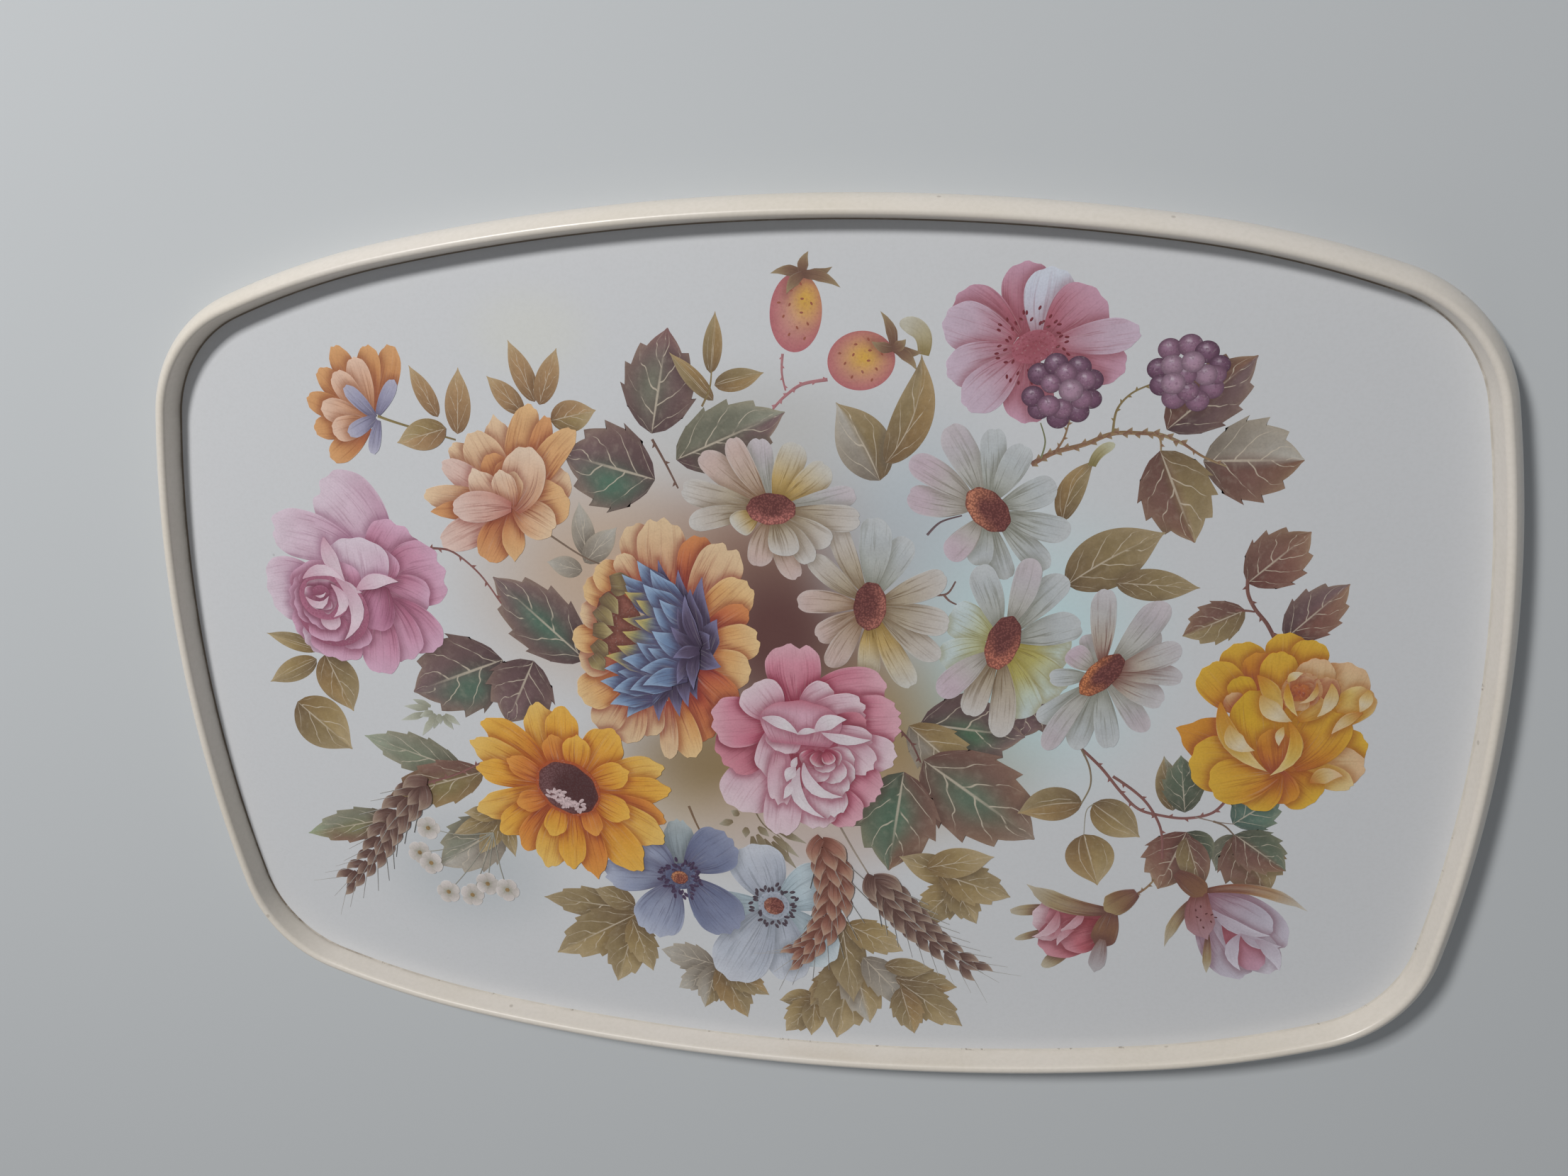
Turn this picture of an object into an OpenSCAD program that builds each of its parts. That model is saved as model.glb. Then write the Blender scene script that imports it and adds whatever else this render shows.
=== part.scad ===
// Serving tray: a moulded plastic rim around a flat decorated panel.
// The panel is a three-layer sandwich that drops into the rim from below
// and is held by a bead of glue. Origin: middle of the footprint, on the
// surface that the tray stands on. +X along the length, +Z up.

/* [Tray] */
// Overall length, over the rim
tray_len = 469.4; // [440:0.2:500]
// Overall width, over the rim
tray_wid = 323.4; // [310:0.2:340]
// Height of the rim's crest above the table
tray_high = 16; // [14:0.1:20]

/* [Outline] */
// Radius of the four corners, along the seam
corner_r = 45.2; // [35:0.1:55]
// Radius of the shoulders between a corner and a long side
shoulder_r = 321.9; // [250:0.1:360]

/* [Rim] */
// How far the rim reaches outward from the seam
rim_reach = 7.68; // [7:0.02:9]
// How far the crest lies outward from the seam
crest_out = 2.52; // [2:0.02:3.2]
// Radius of the rounded crest
crest_r = 1.6; // [1.2:0.1:1.8]
// Height of the drip edge on the outside of the rim
edge_high = 7.5; // [7.2:0.1:9]
// How deep the panel's edge sits behind the seam
rebate_deep = 1.6; // [1:0.1:2]

/* [Panel] */
// Height of the panel's decorated face above the table
face_high = 7; // [6.4:0.1:7]
// Thickness of the decorated face laminate
face_t = 0.8; // [0.6:0.1:1]
// Thickness of the core board
core_t = 2.2; // [1.8:0.1:2.4]
// Thickness of the backing laminate
backing_t = 0.6; // [0.4:0.1:0.8]
// Thickness of the printed film of flowers
film_t = 0.1; // [0.08:0.01:0.2]

/* [Hidden] */
$fa = 1.5;
$fs = 0.4;

// ---- outline of the seam, where the rim meets the decorated face ----
// Each quarter is four tangent arcs. The angles are the directions of the
// outline's normal where one arc passes into the next.
long_end = 80.7;
shoulder_end = 69.7;
corner_end = 11.3;
seam_x = tray_len / 2 - rim_reach;
seam_y = tray_wid / 2 - rim_reach;

// The radii of the long and short sides are what closes the quarter.
sum_x = seam_x - shoulder_r * (cos(shoulder_end) - cos(long_end))
    - corner_r * (cos(corner_end) - cos(shoulder_end));
sum_y = seam_y - shoulder_r * (sin(long_end) - sin(shoulder_end))
    - corner_r * (sin(shoulder_end) - sin(corner_end));
side_det = cos(long_end) * sin(corner_end) - (1 - cos(corner_end)) * (1 - sin(long_end));
long_r = (sum_x * sin(corner_end) - sum_y * (1 - cos(corner_end))) / side_det;
short_r = (sum_y * cos(long_end) - sum_x * (1 - sin(long_end))) / side_det;

function along(a) = [cos(a), sin(a)];
long_c = [0, seam_y - long_r];
shoulder_c = long_c + (long_r - shoulder_r) * along(long_end);
corner_c = shoulder_c + (shoulder_r - corner_r) * along(shoulder_end);
short_c = [seam_x - short_r, 0];

// One quarter's arcs: centre, radius, first and last direction, stations
QUARTER = [
    [short_c, short_r, 0, corner_end, 4],
    [corner_c, corner_r, corner_end, shoulder_end, 12],
    [shoulder_c, shoulder_r, shoulder_end, long_end, 4],
    [long_c, long_r, long_end, 90, 6]
];

// A station is a place on the seam and the direction that leads outward
function station(arc, a) = [arc[0] + arc[1] * along(a), along(a)];
function mirrored(stations, sx, sy) =
    [for (s = stations) [[sx * s[0].x, sy * s[0].y], [sx * s[1].x, sy * s[1].y]]];
// The stations in reverse order, without the last skip of them
function back(stations, skip) = [for (i = [len(stations) - 1 : -1 : skip]) stations[i]];
function but_first(stations) = [for (i = [1 : len(stations) - 1]) stations[i]];

first_quarter = concat(
    [for (arc = QUARTER, i = [0 : arc[4] - 1]) station(arc, arc[2] + (arc[3] - arc[2]) * i / arc[4])],
    [station(QUARTER[3], 90)]
);
STATIONS = concat(
    first_quarter,
    but_first(back(mirrored(first_quarter, -1, 1), 0)),
    but_first(mirrored(first_quarter, -1, -1)),
    but_first(back(mirrored(first_quarter, 1, -1), 1))
);

// Points of the seam, moved outward by grow
function outline(grow) = [for (s = STATIONS) s[0] + grow * s[1]];

// ---- heights of the sandwich, from the decorated face down ----
core_top = face_high - face_t;
backing_top = core_top - core_t;
panel_under = backing_top - backing_t;
edge_gap = 0.2;

// Sweeps a section around the whole seam. The section's x is the distance
// outward from the seam and its y is the height; its points run anticlockwise.
module around_seam(section) {
    n = len(section);
    count = len(STATIONS);
    polyhedron(
        points = [for (s = STATIONS, p = section) [s[0].x + p.x * s[1].x, s[0].y + p.x * s[1].y, p.y]],
        faces = [
            for (i = [0 : count - 1], j = [0 : n - 1])
                let (k = (i + 1) % count, m = (j + 1) % n)
                    [i * n + j, k * n + j, k * n + m, i * n + m]
        ],
        convexity = 6
    );
}

function arc_points(centre, radius, from, to, steps) =
    [for (i = [0 : steps]) centre + radius * along(from + (to - from) * i / steps)];

// ---- section of the rim ----
crest_c = [crest_out, tray_high - crest_r];
crest_leave = 50;
crest_meet = 173;
slope_end = 3.5;
// The outer slope is one arc, tangent to the crest, that ends on the drip edge
slope_r = (rim_reach - crest_out - crest_r * cos(crest_leave)) / (cos(slope_end) - cos(crest_leave));
slope_c = crest_c + (crest_r - slope_r) * along(crest_leave);
edge_t = 0.7;
edge_step = 0.6;
foot_in = 2.6;
foot_out = 5;
foot_round = 1;

rim_section = concat(
    [[0, face_high]],
    [[rebate_deep, face_high]],
    [[rebate_deep, foot_round]],
    [[foot_in, 0]],
    [[foot_out, 0]],
    arc_points([foot_out, foot_round], foot_round, -45, -10, 1),
    [[rim_reach - edge_step, edge_high - edge_t - edge_step]],
    [[rim_reach, edge_high - edge_t]],
    arc_points(slope_c, slope_r, slope_end, crest_leave, 7),
    arc_points(crest_c, crest_r, crest_leave + 25, crest_meet, 5)
);

// Cream plastic rim, moulded in one piece, rebated below for the panel
module rim() {
    color("#d9d2c6") around_seam(rim_section);
}

module panel_layer(under, thick) {
    translate([0, 0, under])
        linear_extrude(height = thick)
            polygon(outline(rebate_deep - edge_gap));
}

// White face laminate that carries the decoration
module printed_face() {
    color("#e6eaee") panel_layer(core_top, face_t);
}

// Brown board in the middle of the panel, which makes it stiff
module core_board() {
    color("#8a6a48") panel_layer(backing_top, core_t);
}

// Plain laminate under the board, which keeps the panel from curling
module backing_sheet() {
    color("#cfc8ba") panel_layer(panel_under, backing_t);
}

// Fillet of glue in the corner between the panel's underside and the rim
bead_in = 2.5;
bead_down = 1.8;
bead_hollow = 0.36;
bead_section = [
    [rebate_deep - bead_in, panel_under],
    [rebate_deep - bead_hollow * bead_in, panel_under - bead_hollow * bead_down],
    [rebate_deep, panel_under - bead_down],
    [rebate_deep, panel_under]
];
module glue_bead() {
    color("#c9a35c") around_seam(bead_section);
}

// ---- printed film of flowers ----
// Each patch of film is a round: x, y and radius of a flower or a leaf spray
FLOWERS = [
    [-149, 97, 22], [-96, 68, 31], [-160, 32, 36], [-44, 12, 43], [-84, -50, 37],
    [7, -25, 36], [-1, 60, 31], [31, 26, 30], [70, 62, 27], [76, 14, 31],
    [109, 4, 27], [84, 114, 31], [93, 100, 12], [132, 104, 13], [166, -11, 32],
    [-45, -87, 26], [-8, -94, 29], [103, -94, 19], [160, -90, 21], [9, 126, 13],
    [30, 110, 15]
];
SPRAYS = [
    [-117, 92, 17], [-79, 102, 17], [-42, 98, 27], [-60, 76, 20], [-16, 90, 20],
    [-20, 112, 15], [30, 78, 20], [44, 100, 18], [110, 82, 18], [132, 76, 17],
    [152, 78, 16], [146, 96, 15], [112, 47, 20], [128, 38, 12], [154, 46, 18],
    [146, 27, 14], [176, 28, 14], [-188, -2, 18], [-172, -12, 14], [-184, -30, 16],
    [-116, -2, 24], [-94, 22, 24], [-92, -6, 16], [-138, -20, 16], [-146, -46, 22],
    [-164, -70, 20], [-178, -84, 16], [-126, -76, 26], [-112, -88, 20], [-80, -104, 18],
    [-74, -118, 20], [-36, -124, 22], [-10, -140, 16], [22, -122, 26], [44, -130, 20],
    [36, -88, 22], [58, -104, 20], [60, -80, 20], [40, -58, 20], [68, -44, 22],
    [58, -18, 18], [95, -48, 16], [112, -52, 15], [106, -68, 14], [134, -50, 20],
    [144, -34, 14], [160, -48, 12], [156, -66, 18], [-12, -58, 20], [60, -2, 22]
];
round_facets = 48;

module film_round(place) {
    translate([place[0], place[1]]) circle(r = place[2], $fn = round_facets);
}

// Printed flowers and leaves: a film that lies on the face laminate
module flower_transfer() {
    color("#b0708a")
        translate([0, 0, face_high])
            linear_extrude(height = film_t)
                union() {
                    for (place = FLOWERS) film_round(place);
                    for (place = SPRAYS) film_round(place);
                }
}

rim();
printed_face();
core_board();
backing_sheet();
glue_bead();
flower_transfer();
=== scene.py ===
# %% [markdown]
# # A serving tray with a printed bouquet
# The tray is a white laminate panel in a cream plastic rim. The panel carries
# a printed bouquet of garden and wild flowers. The CAD frame holds the real
# sizes; this lesson gives every part its finish and paints the flowers.

# %% Load the frame and keep its box
import math

import bpy
import numpy as np
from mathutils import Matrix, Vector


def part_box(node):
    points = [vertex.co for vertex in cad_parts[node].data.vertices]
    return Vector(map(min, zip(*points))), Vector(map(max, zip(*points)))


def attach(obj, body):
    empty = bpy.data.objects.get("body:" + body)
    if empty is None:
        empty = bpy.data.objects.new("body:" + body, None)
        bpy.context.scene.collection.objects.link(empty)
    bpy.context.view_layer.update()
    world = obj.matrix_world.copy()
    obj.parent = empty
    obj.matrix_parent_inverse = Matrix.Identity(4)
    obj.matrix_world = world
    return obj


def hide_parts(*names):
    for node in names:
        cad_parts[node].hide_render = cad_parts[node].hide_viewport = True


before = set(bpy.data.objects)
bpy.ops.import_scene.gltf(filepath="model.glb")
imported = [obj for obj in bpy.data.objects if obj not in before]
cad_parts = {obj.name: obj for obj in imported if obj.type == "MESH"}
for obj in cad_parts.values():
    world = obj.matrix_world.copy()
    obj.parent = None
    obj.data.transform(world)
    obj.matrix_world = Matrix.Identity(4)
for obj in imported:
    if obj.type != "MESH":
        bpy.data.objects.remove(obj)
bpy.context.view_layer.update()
MM = 0.001
face_low, face_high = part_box("printed_face")
face_z = face_high.z
rim_low, rim_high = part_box("rim")
print("the rim is", [round(s / MM, 1) for s in rim_high - rim_low], "mm")

# %% [markdown]
# ## The camera
# A tray like this is looked at from above and a little in front. The camera
# stands to the right of the middle and leans back, so the near side of the rim
# looks thick and the far side thin. The lens is a phone's: short and wide.

# %% Camera
CAMERA_AT = (80.3, 165.8, 404.1)
CAMERA_RIGHT = (0.983, -0.0386, -0.1793)
CAMERA_UP = (-0.0194, 0.9502, -0.3109)
LENS = 28.85


def aim_camera():
    from mathutils import Matrix, Vector
    right = Vector(CAMERA_RIGHT).normalized()
    up = (Vector(CAMERA_UP) - right * right.dot(Vector(CAMERA_UP))).normalized()
    back = right.cross(up)
    camera = bpy.data.objects.new("camera", bpy.data.cameras.new("camera"))
    turn = Matrix((right, up, back)).transposed().to_4x4()
    place = Vector(CAMERA_AT) * MM + Vector((0, 0, face_z))
    camera.matrix_world = Matrix.Translation(place) @ turn
    camera.data.lens = LENS
    camera.data.sensor_width = 36
    camera.data.clip_start = 0.01
    bpy.context.scene.collection.objects.link(camera)
    bpy.context.scene.camera = camera
    return camera


camera = aim_camera()
print("the camera is", round(camera.location.z / MM), "mm above the table")

# %% [markdown]
# ## The room
# A pale floor and soft light are enough. One large lamp high on the left gives
# the far and left inner walls of the rim their shade, as a window would.

# %% Floor and light
def soft_lamp(name, place, size, power, colour):
    lamp = bpy.data.lights.new(name, "AREA")
    lamp.size = size
    lamp.energy = power
    lamp.color = colour
    holder = bpy.data.objects.new(name, lamp)
    holder.location = place
    holder.rotation_euler = (-holder.location).to_track_quat("-Z", "Y").to_euler()
    bpy.context.scene.collection.objects.link(holder)
    return holder


def pale_floor():
    mesh = bpy.data.meshes.new("floor")
    reach = 3
    mesh.from_pydata([(-reach, -reach, 0), (reach, -reach, 0), (reach, reach, 0), (-reach, reach, 0)],
                     [], [(0, 1, 2, 3)])
    floor = bpy.data.objects.new("floor", mesh)
    paint = bpy.data.materials.new("floor_paper")
    paint.use_nodes = True
    paint.node_tree.nodes["Principled BSDF"].inputs["Base Color"].default_value = (0.62, 0.65, 0.68, 1)
    paint.node_tree.nodes["Principled BSDF"].inputs["Roughness"].default_value = 0.9
    mesh.materials.append(paint)
    bpy.context.scene.collection.objects.link(floor)
    return floor


floor = pale_floor()
window = soft_lamp("window", (-0.68, 0.93, 1.2), 0.26, 18.0, (1.0, 0.985, 0.955))
room = soft_lamp("room", (0.1, -1.3, 0.7), 0.9, 1.4, (1.0, 0.93, 0.84))
sky = bpy.data.worlds.new("sky")
sky.use_nodes = True
sky.node_tree.nodes["Background"].inputs["Color"].default_value = (0.93, 0.965, 1.0, 1)
sky.node_tree.nodes["Background"].inputs["Strength"].default_value = 0.155
bpy.context.scene.world = sky
bpy.context.scene.view_settings.view_transform = "Standard"
print("lamps:", window.name, "and", room.name)

# %% [markdown]
# ## Colours as they look on the tray
# The paints are named by the colour that they have in soft daylight. `tint`
# turns such a colour into the reflectance that looks like it under the lamp.

# %% Colours
EXPOSE = 1.45


def tint(code):
    out = []
    for i in (0, 2, 4):
        c = int(code[i:i + 2], 16) / 255
        c = c / 12.92 if c <= 0.04045 else ((c + 0.055) / 1.055) ** 2.4
        out.append(min(0.9, c * EXPOSE))
    return np.array(out)


WHITE = tint("bbbdc1")
print("the laminate reflects", WHITE.round(2))

# %% [markdown]
# ## A short way to write shader nodes
# Each finish below is a small tree of nodes. These helpers keep the trees
# readable: `node` makes one node and joins its inputs, `mix` blends colours.

# %% Shader helpers
class Finish:
    """A material and short ways to add nodes to it."""

    def __init__(self, name, roughness=0.35):
        self.material = bpy.data.materials.new(name)
        self.material.use_nodes = True
        self.nodes = self.material.node_tree.nodes
        self.links = self.material.node_tree.links
        self.shader = self.nodes["Principled BSDF"]
        self.shader.inputs["Roughness"].default_value = roughness

    def put(self, socket, value):
        if hasattr(value, "default_value"):
            self.links.new(value, socket)
        else:
            socket.default_value = value

    def node(self, kind, inputs=None, out=0, **settings):
        made = self.nodes.new(kind)
        for key, value in settings.items():
            setattr(made, key, value)
        for key, value in (inputs or {}).items():
            self.put(made.inputs[key], value)
        return made.outputs[out]

    def maths(self, operation, a, b=0.0, clamp=False):
        return self.node("ShaderNodeMath", {0: a, 1: b}, operation=operation, use_clamp=clamp)

    def mix(self, share, first, second, blend="MIX"):
        made = self.nodes.new("ShaderNodeMix")
        made.data_type = "RGBA"
        made.blend_type = blend
        self.put(made.inputs[0], share)
        self.put(made.inputs[6], first)
        self.put(made.inputs[7], second)
        return made.outputs[2]

    def band(self, value, low, high):
        return self.node("ShaderNodeMapRange", {0: value, 1: low, 2: high}, interpolation_type="SMOOTHSTEP")

    def noise(self, place, scale, detail=2.0, rough=0.5):
        return self.node("ShaderNodeTexNoise", {"Vector": place, "Scale": scale, "Detail": detail,
                                                "Roughness": rough})

    def place(self):
        return self.node("ShaderNodeTexCoord", out=3)

    def attribute(self, name, out=0):
        return self.node("ShaderNodeAttribute", out=out, attribute_name=name)

    def bump(self, height, strength, distance):
        made = self.node("ShaderNodeBump", {"Height": height, "Strength": strength, "Distance": distance})
        self.put(self.shader.inputs["Normal"], made)

    def rough(self, value, low, high):
        """Roughness between low and high, after a pattern's value."""
        made = self.node("ShaderNodeMapRange", {0: value, 3: low, 4: high})
        self.put(self.shader.inputs["Roughness"], made)

    def colour(self, value):
        self.put(self.shader.inputs["Base Color"], value)


def rgba(colour, alpha=1.0):
    return (float(colour[0]), float(colour[1]), float(colour[2]), alpha)


# %% [markdown]
# ## The face laminate and its airbrushed ground
# Behind the middle of the bouquet the printer airbrushed soft clouds: plum
# between the big flowers, olive and ochre around them, and a cool blue near the
# daisies. Each cloud is an ellipse that fades out, so one helper adds them all.

# %% Clouds behind the flowers
# middle x and y, half length and half width, turn, colour, strength
CLOUDS = [
    (2, 4, 66, 64, 0, "8d6f5c", 0.8), (-8, -44, 84, 34, 6, "a38f72", 0.85),
    (-64, 36, 52, 44, 20, "ab8f74", 0.75), (48, -18, 44, 34, -20, "8a6f42", 0.9),
    (-4, 46, 46, 30, 0, "866450", 0.7), (-2, 14, 34, 40, 0, "5b3e3c", 1.0),
    (-26, -34, 36, 22, 0, "77623f", 0.75), (-4, 84, 44, 24, 0, "a9a9a8", 0.7),
    (46, 54, 36, 40, 0, "a3aeb6", 0.7), (84, 8, 44, 52, -10, "a9c6cb", 0.75),
    (-128, -86, 38, 28, 0, "a3a9ae", 0.65), (6, -62, 40, 22, 0, "b3a3a0", 0.6),
    (-82, 120, 24, 16, 0, "c2c2b6", 0.35),
]


def cloud_share(finish, x, y, long, wide, turn, strength):
    mapped = finish.node("ShaderNodeMapping", {"Vector": finish.place(), "Location": (x * MM, y * MM, 0),
                                               "Rotation": (0, 0, math.radians(turn)),
                                               "Scale": (long * MM, wide * MM, 1)}, vector_type="TEXTURE")
    flat = finish.node("ShaderNodeVectorMath", {0: mapped, 1: (1, 1, 0)}, operation="MULTIPLY")
    far = finish.node("ShaderNodeVectorMath", {0: flat}, out=1, operation="LENGTH")
    fade = finish.band(far, 1.35, 0.15)
    return finish.maths("MULTIPLY", fade, strength)


def laminate_finish():
    finish = Finish("face_laminate", 0.3)
    place = finish.place()
    colour = rgba(WHITE)
    for x, y, long, wide, turn, code, strength in CLOUDS:
        share = cloud_share(finish, x, y, long, wide, turn, strength)
        colour = finish.mix(share, colour, rgba(tint(code)))
    grain = finish.noise(place, 900, 3)
    colour = finish.mix(finish.band(grain, 0.35, 0.75), colour, (0.975, 0.975, 0.972, 1), "MULTIPLY")
    specks = finish.node("ShaderNodeTexVoronoi", {"Vector": place, "Scale": 28}, out=0)
    speck = finish.band(specks, 0.024, 0.012)
    colour = finish.mix(finish.maths("MULTIPLY", speck, 0.35), colour, rgba(tint("6d6a66")))
    finish.colour(colour)
    wear = finish.noise(place, 45, 4)
    finish.rough(wear, 0.24, 0.36)
    finish.bump(finish.noise(place, 1500, 2), 0.02, 0.0001)
    return finish.material


laminate = laminate_finish()
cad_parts["printed_face"].data.materials.clear()
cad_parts["printed_face"].data.materials.append(laminate)
print("clouds:", len(CLOUDS))

# %% [markdown]
# ## A smooth rim
# The CAD rim is true to size but has flat facets. The shown rim follows the same
# outline and the same section with many more points, so that highlights run
# round it without a break. Each quarter of the outline is four tangent arcs.

# %% Outline of the seam
SEAM_X = rim_high.x / MM - 7.68
SEAM_Y = rim_high.y / MM - 7.68
CORNER_R = 45.2
SHOULDER_R = 321.9
LONG_END, SHOULDER_END, CORNER_END = 80.7, 69.7, 11.3


def heading(angle):
    return np.array((math.cos(math.radians(angle)), math.sin(math.radians(angle))))


def seam_stations():
    """Points of the seam and the directions that lead outward from it."""
    long_n, shoulder_n, corner_n = heading(LONG_END), heading(SHOULDER_END), heading(CORNER_END)
    shoulder_span = np.array((shoulder_n[0] - long_n[0], long_n[1] - shoulder_n[1]))
    corner_span = np.array((corner_n[0] - shoulder_n[0], shoulder_n[1] - corner_n[1]))
    left = np.array((SEAM_X, SEAM_Y)) - SHOULDER_R * shoulder_span
    left = left - CORNER_R * corner_span
    sides = np.array(((long_n[0], 1 - corner_n[0]), (1 - long_n[1], corner_n[1])))
    long_r, short_r = np.linalg.solve(sides, left)
    long_c = np.array((0, SEAM_Y - long_r))
    shoulder_c = long_c + (long_r - SHOULDER_R) * long_n
    corner_c = shoulder_c + (SHOULDER_R - CORNER_R) * shoulder_n
    short_c = np.array((SEAM_X - short_r, 0))
    arcs = [(short_c, short_r, 0, CORNER_END, 14), (corner_c, CORNER_R, CORNER_END, SHOULDER_END, 30),
            (shoulder_c, SHOULDER_R, SHOULDER_END, LONG_END, 12), (long_c, long_r, LONG_END, 90, 18)]
    quarter = []
    for centre, radius, first, last, steps in arcs:
        for angle in np.linspace(first, last, steps, endpoint=False):
            quarter.append(np.concatenate((centre + radius * heading(angle), heading(angle))))
    quarter.append(np.array((0, SEAM_Y, 0, 1)))
    quarter = np.array(quarter)
    over = (quarter * (-1, 1, -1, 1))[::-1][1:]
    half = np.concatenate((quarter, over))
    return np.concatenate((half, (half * (-1, -1, -1, -1))[1:-1]))


stations = seam_stations()
print("the seam has", len(stations), "stations")

# %% [markdown]
# ## Sweep a section round the seam
# A section is a closed loop of points: how far outward, and how high. The rim's
# crest is a small circle, and its outer slope is one arc that ends on a step.

# %% Sweep
def arc_section(centre, radius, first, last, steps):
    return [(centre[0] + radius * math.cos(math.radians(a)), centre[1] + radius * math.sin(math.radians(a)))
            for a in np.linspace(first, last, steps)]


def sweep(name, section, node, material, corner_dirt_and_shade=None):
    section = np.array(section)
    count, n = len(stations), len(section)
    flat = stations[:, None, :2] + section[None, :, 0:1] * stations[:, None, 2:]
    heights = np.broadcast_to(section[None, :, 1:2], (count, n, 1))
    points = np.concatenate((flat, heights), -1).reshape(-1, 3) * MM
    i, j = np.meshgrid(np.arange(count), np.arange(n), indexing="ij")
    k, m = (i + 1) % count, (j + 1) % n
    faces = np.stack((i * n + j, k * n + j, k * n + m, i * n + m), -1).reshape(-1, 4)
    area = np.sum(section[:, 0] * np.roll(section[:, 1], -1) - np.roll(section[:, 0], -1) * section[:, 1])
    faces = faces if area < 0 else faces[:, ::-1]
    mesh = bpy.data.meshes.new(name)
    mesh.from_pydata(points.tolist(), [], faces.tolist())
    if corner_dirt_and_shade is not None:
        values = np.broadcast_to(np.array([corner_dirt_and_shade(u, z) for u, z in section])[None, :], (count, n))
        corner_layer = mesh.attributes.new("corner_dirt_and_shade", "FLOAT", "POINT")
        corner_layer.data.foreach_set("value", values.astype(np.float32).ravel())
    mesh.polygons.foreach_set("use_smooth", [True] * len(mesh.polygons))
    mesh.set_sharp_from_angle(angle=math.radians(34))
    mesh.materials.append(material)
    mesh.update()
    piece = bpy.data.objects.new(name, mesh)
    bpy.context.scene.collection.objects.link(piece)
    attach(piece, "root")
    if node:
        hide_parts(node)
    return piece


def rim_section():
    crest, crest_r = (2.52, 14.4), 1.6
    slope_r = (7.68 - crest[0] - crest_r * heading(50)[0]) / (heading(3.5)[0] - heading(50)[0])
    slope = (crest[0] + (crest_r - slope_r) * heading(50)[0],
             crest[1] + (crest_r - slope_r) * heading(50)[1])
    top = arc_section(crest, crest_r, 53, 173, 14)
    inner = [(top[-1][0] * (1 - s), top[-1][1] + (7 - top[-1][1]) * s) for s in (0.3, 0.6, 0.8, 0.9, 0.96)]
    foot = [(0, 7), (1.6, 7), (1.6, 4), (1.6, 1), (2.6, 0), (5, 0)] + arc_section((5, 1), 1, -60, -10, 4)
    drip_edge = [(6.4, 3.4), (7.08, 6.2), (7.68, 6.8)]
    return foot + drip_edge + arc_section(slope, slope_r, 3.5, 50, 16) + top + inner


# %% [markdown]
# ## Cream plastic
# The plastic has a soft sheen and has yellowed a little. Dirt has gathered in
# the corner at the seam. On the far and left sides, where the rim's shadow falls,
# that dark line is painted darker: painted shade.

# %% Rim finish, the dirt at the seam and its painted shade
def shaded_side_share(finish):
    """Near 1 on the left and far sides of the tray, where the rim's shadow falls, near 0 on the others: a
    mask for painted shade.
    """
    split = finish.nodes.new("ShaderNodeSeparateXYZ")
    finish.put(split.inputs[0], finish.place())
    along = finish.maths("MULTIPLY", split.outputs[0], -2.6)
    across = finish.maths("MULTIPLY", split.outputs[1], 4.2)
    return finish.band(finish.maths("ADD", along, across), -0.35, 0.3)


def rim_finish():
    finish = Finish("cream_plastic", 0.32)
    place = finish.place()
    aged = finish.band(finish.noise(place, 9, 3), 0.35, 0.75)
    colour = finish.mix(aged, rgba(tint("cbc5be")), rgba(tint("c6bfb4")))
    fine = finish.noise(place, 700, 3)
    colour = finish.mix(finish.band(fine, 0.3, 0.8), colour, (0.95, 0.95, 0.94, 1), "MULTIPLY")
    specks = finish.node("ShaderNodeTexVoronoi", {"Vector": place, "Scale": 60}, out=0)
    speck = finish.maths("MULTIPLY", finish.band(specks, 0.06, 0.03), 0.4)
    colour = finish.mix(speck, colour, rgba(tint("7d7266")))
    patchy = finish.band(finish.noise(place, 120, 4, 0.65), 0.4, 0.62)
    # Painted shade: the seam line grows darker on the far and left sides, where the rim's shadow falls; its
    # patchy rest is dirt in the joint.
    sides = finish.maths("ADD", shaded_side_share(finish), 0.25)
    line = finish.maths("MULTIPLY", finish.attribute("corner_dirt_and_shade", 2), sides)
    line = finish.maths("MULTIPLY", line, finish.maths("ADD", finish.maths("MULTIPLY", patchy, 0.6), 0.5))
    colour = finish.mix(line, colour, rgba(tint("776c60")))
    finish.colour(colour)
    scuffs = finish.noise(finish.node("ShaderNodeMapping", {"Vector": place, "Scale": (6, 6, 60)}), 30, 4)
    finish.rough(scuffs, 0.24, 0.42)
    finish.bump(fine, 0.05, 0.0002)
    return finish.material


def seam_finish():
    finish = Finish("seam_dirt_and_shade", 0.7)
    place = finish.place()
    patchy = finish.noise(place, 95, 4, 0.7)
    specks = finish.band(finish.noise(place, 210, 3, 0.7), 0.6, 0.7)
    # Painted shade: the strip is dark mostly on the far and left sides, where the rim casts its shadow; its
    # patches and specks are dirt.
    sides = finish.maths("MULTIPLY", shaded_side_share(finish), 0.8)
    share = finish.maths("ADD", finish.band(patchy, 0.38, 0.6), sides)
    share = finish.maths("MULTIPLY", share, finish.maths("ADD", shaded_side_share(finish), 0.12))
    share = finish.maths("MAXIMUM", share, finish.maths("MULTIPLY", specks, 0.75), clamp=True)
    finish.colour(finish.mix(share, rgba(tint("b9b4ac")), rgba(tint("6f6459"))))
    finish.bump(patchy, 0.2, 0.0003)
    return finish.material


# How close a point of the section is to the seam: the mask of the dark line there, which is dirt in the
# joint that the shader paints darker where shade falls.
def seam_dirt_and_shade(u, z):
    return math.exp(-abs(z - 7) / 0.7) * (1.0 if u < 0.9 else 0.0)


rim = sweep("rim_smooth", rim_section(), "rim", rim_finish(), seam_dirt_and_shade)
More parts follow.
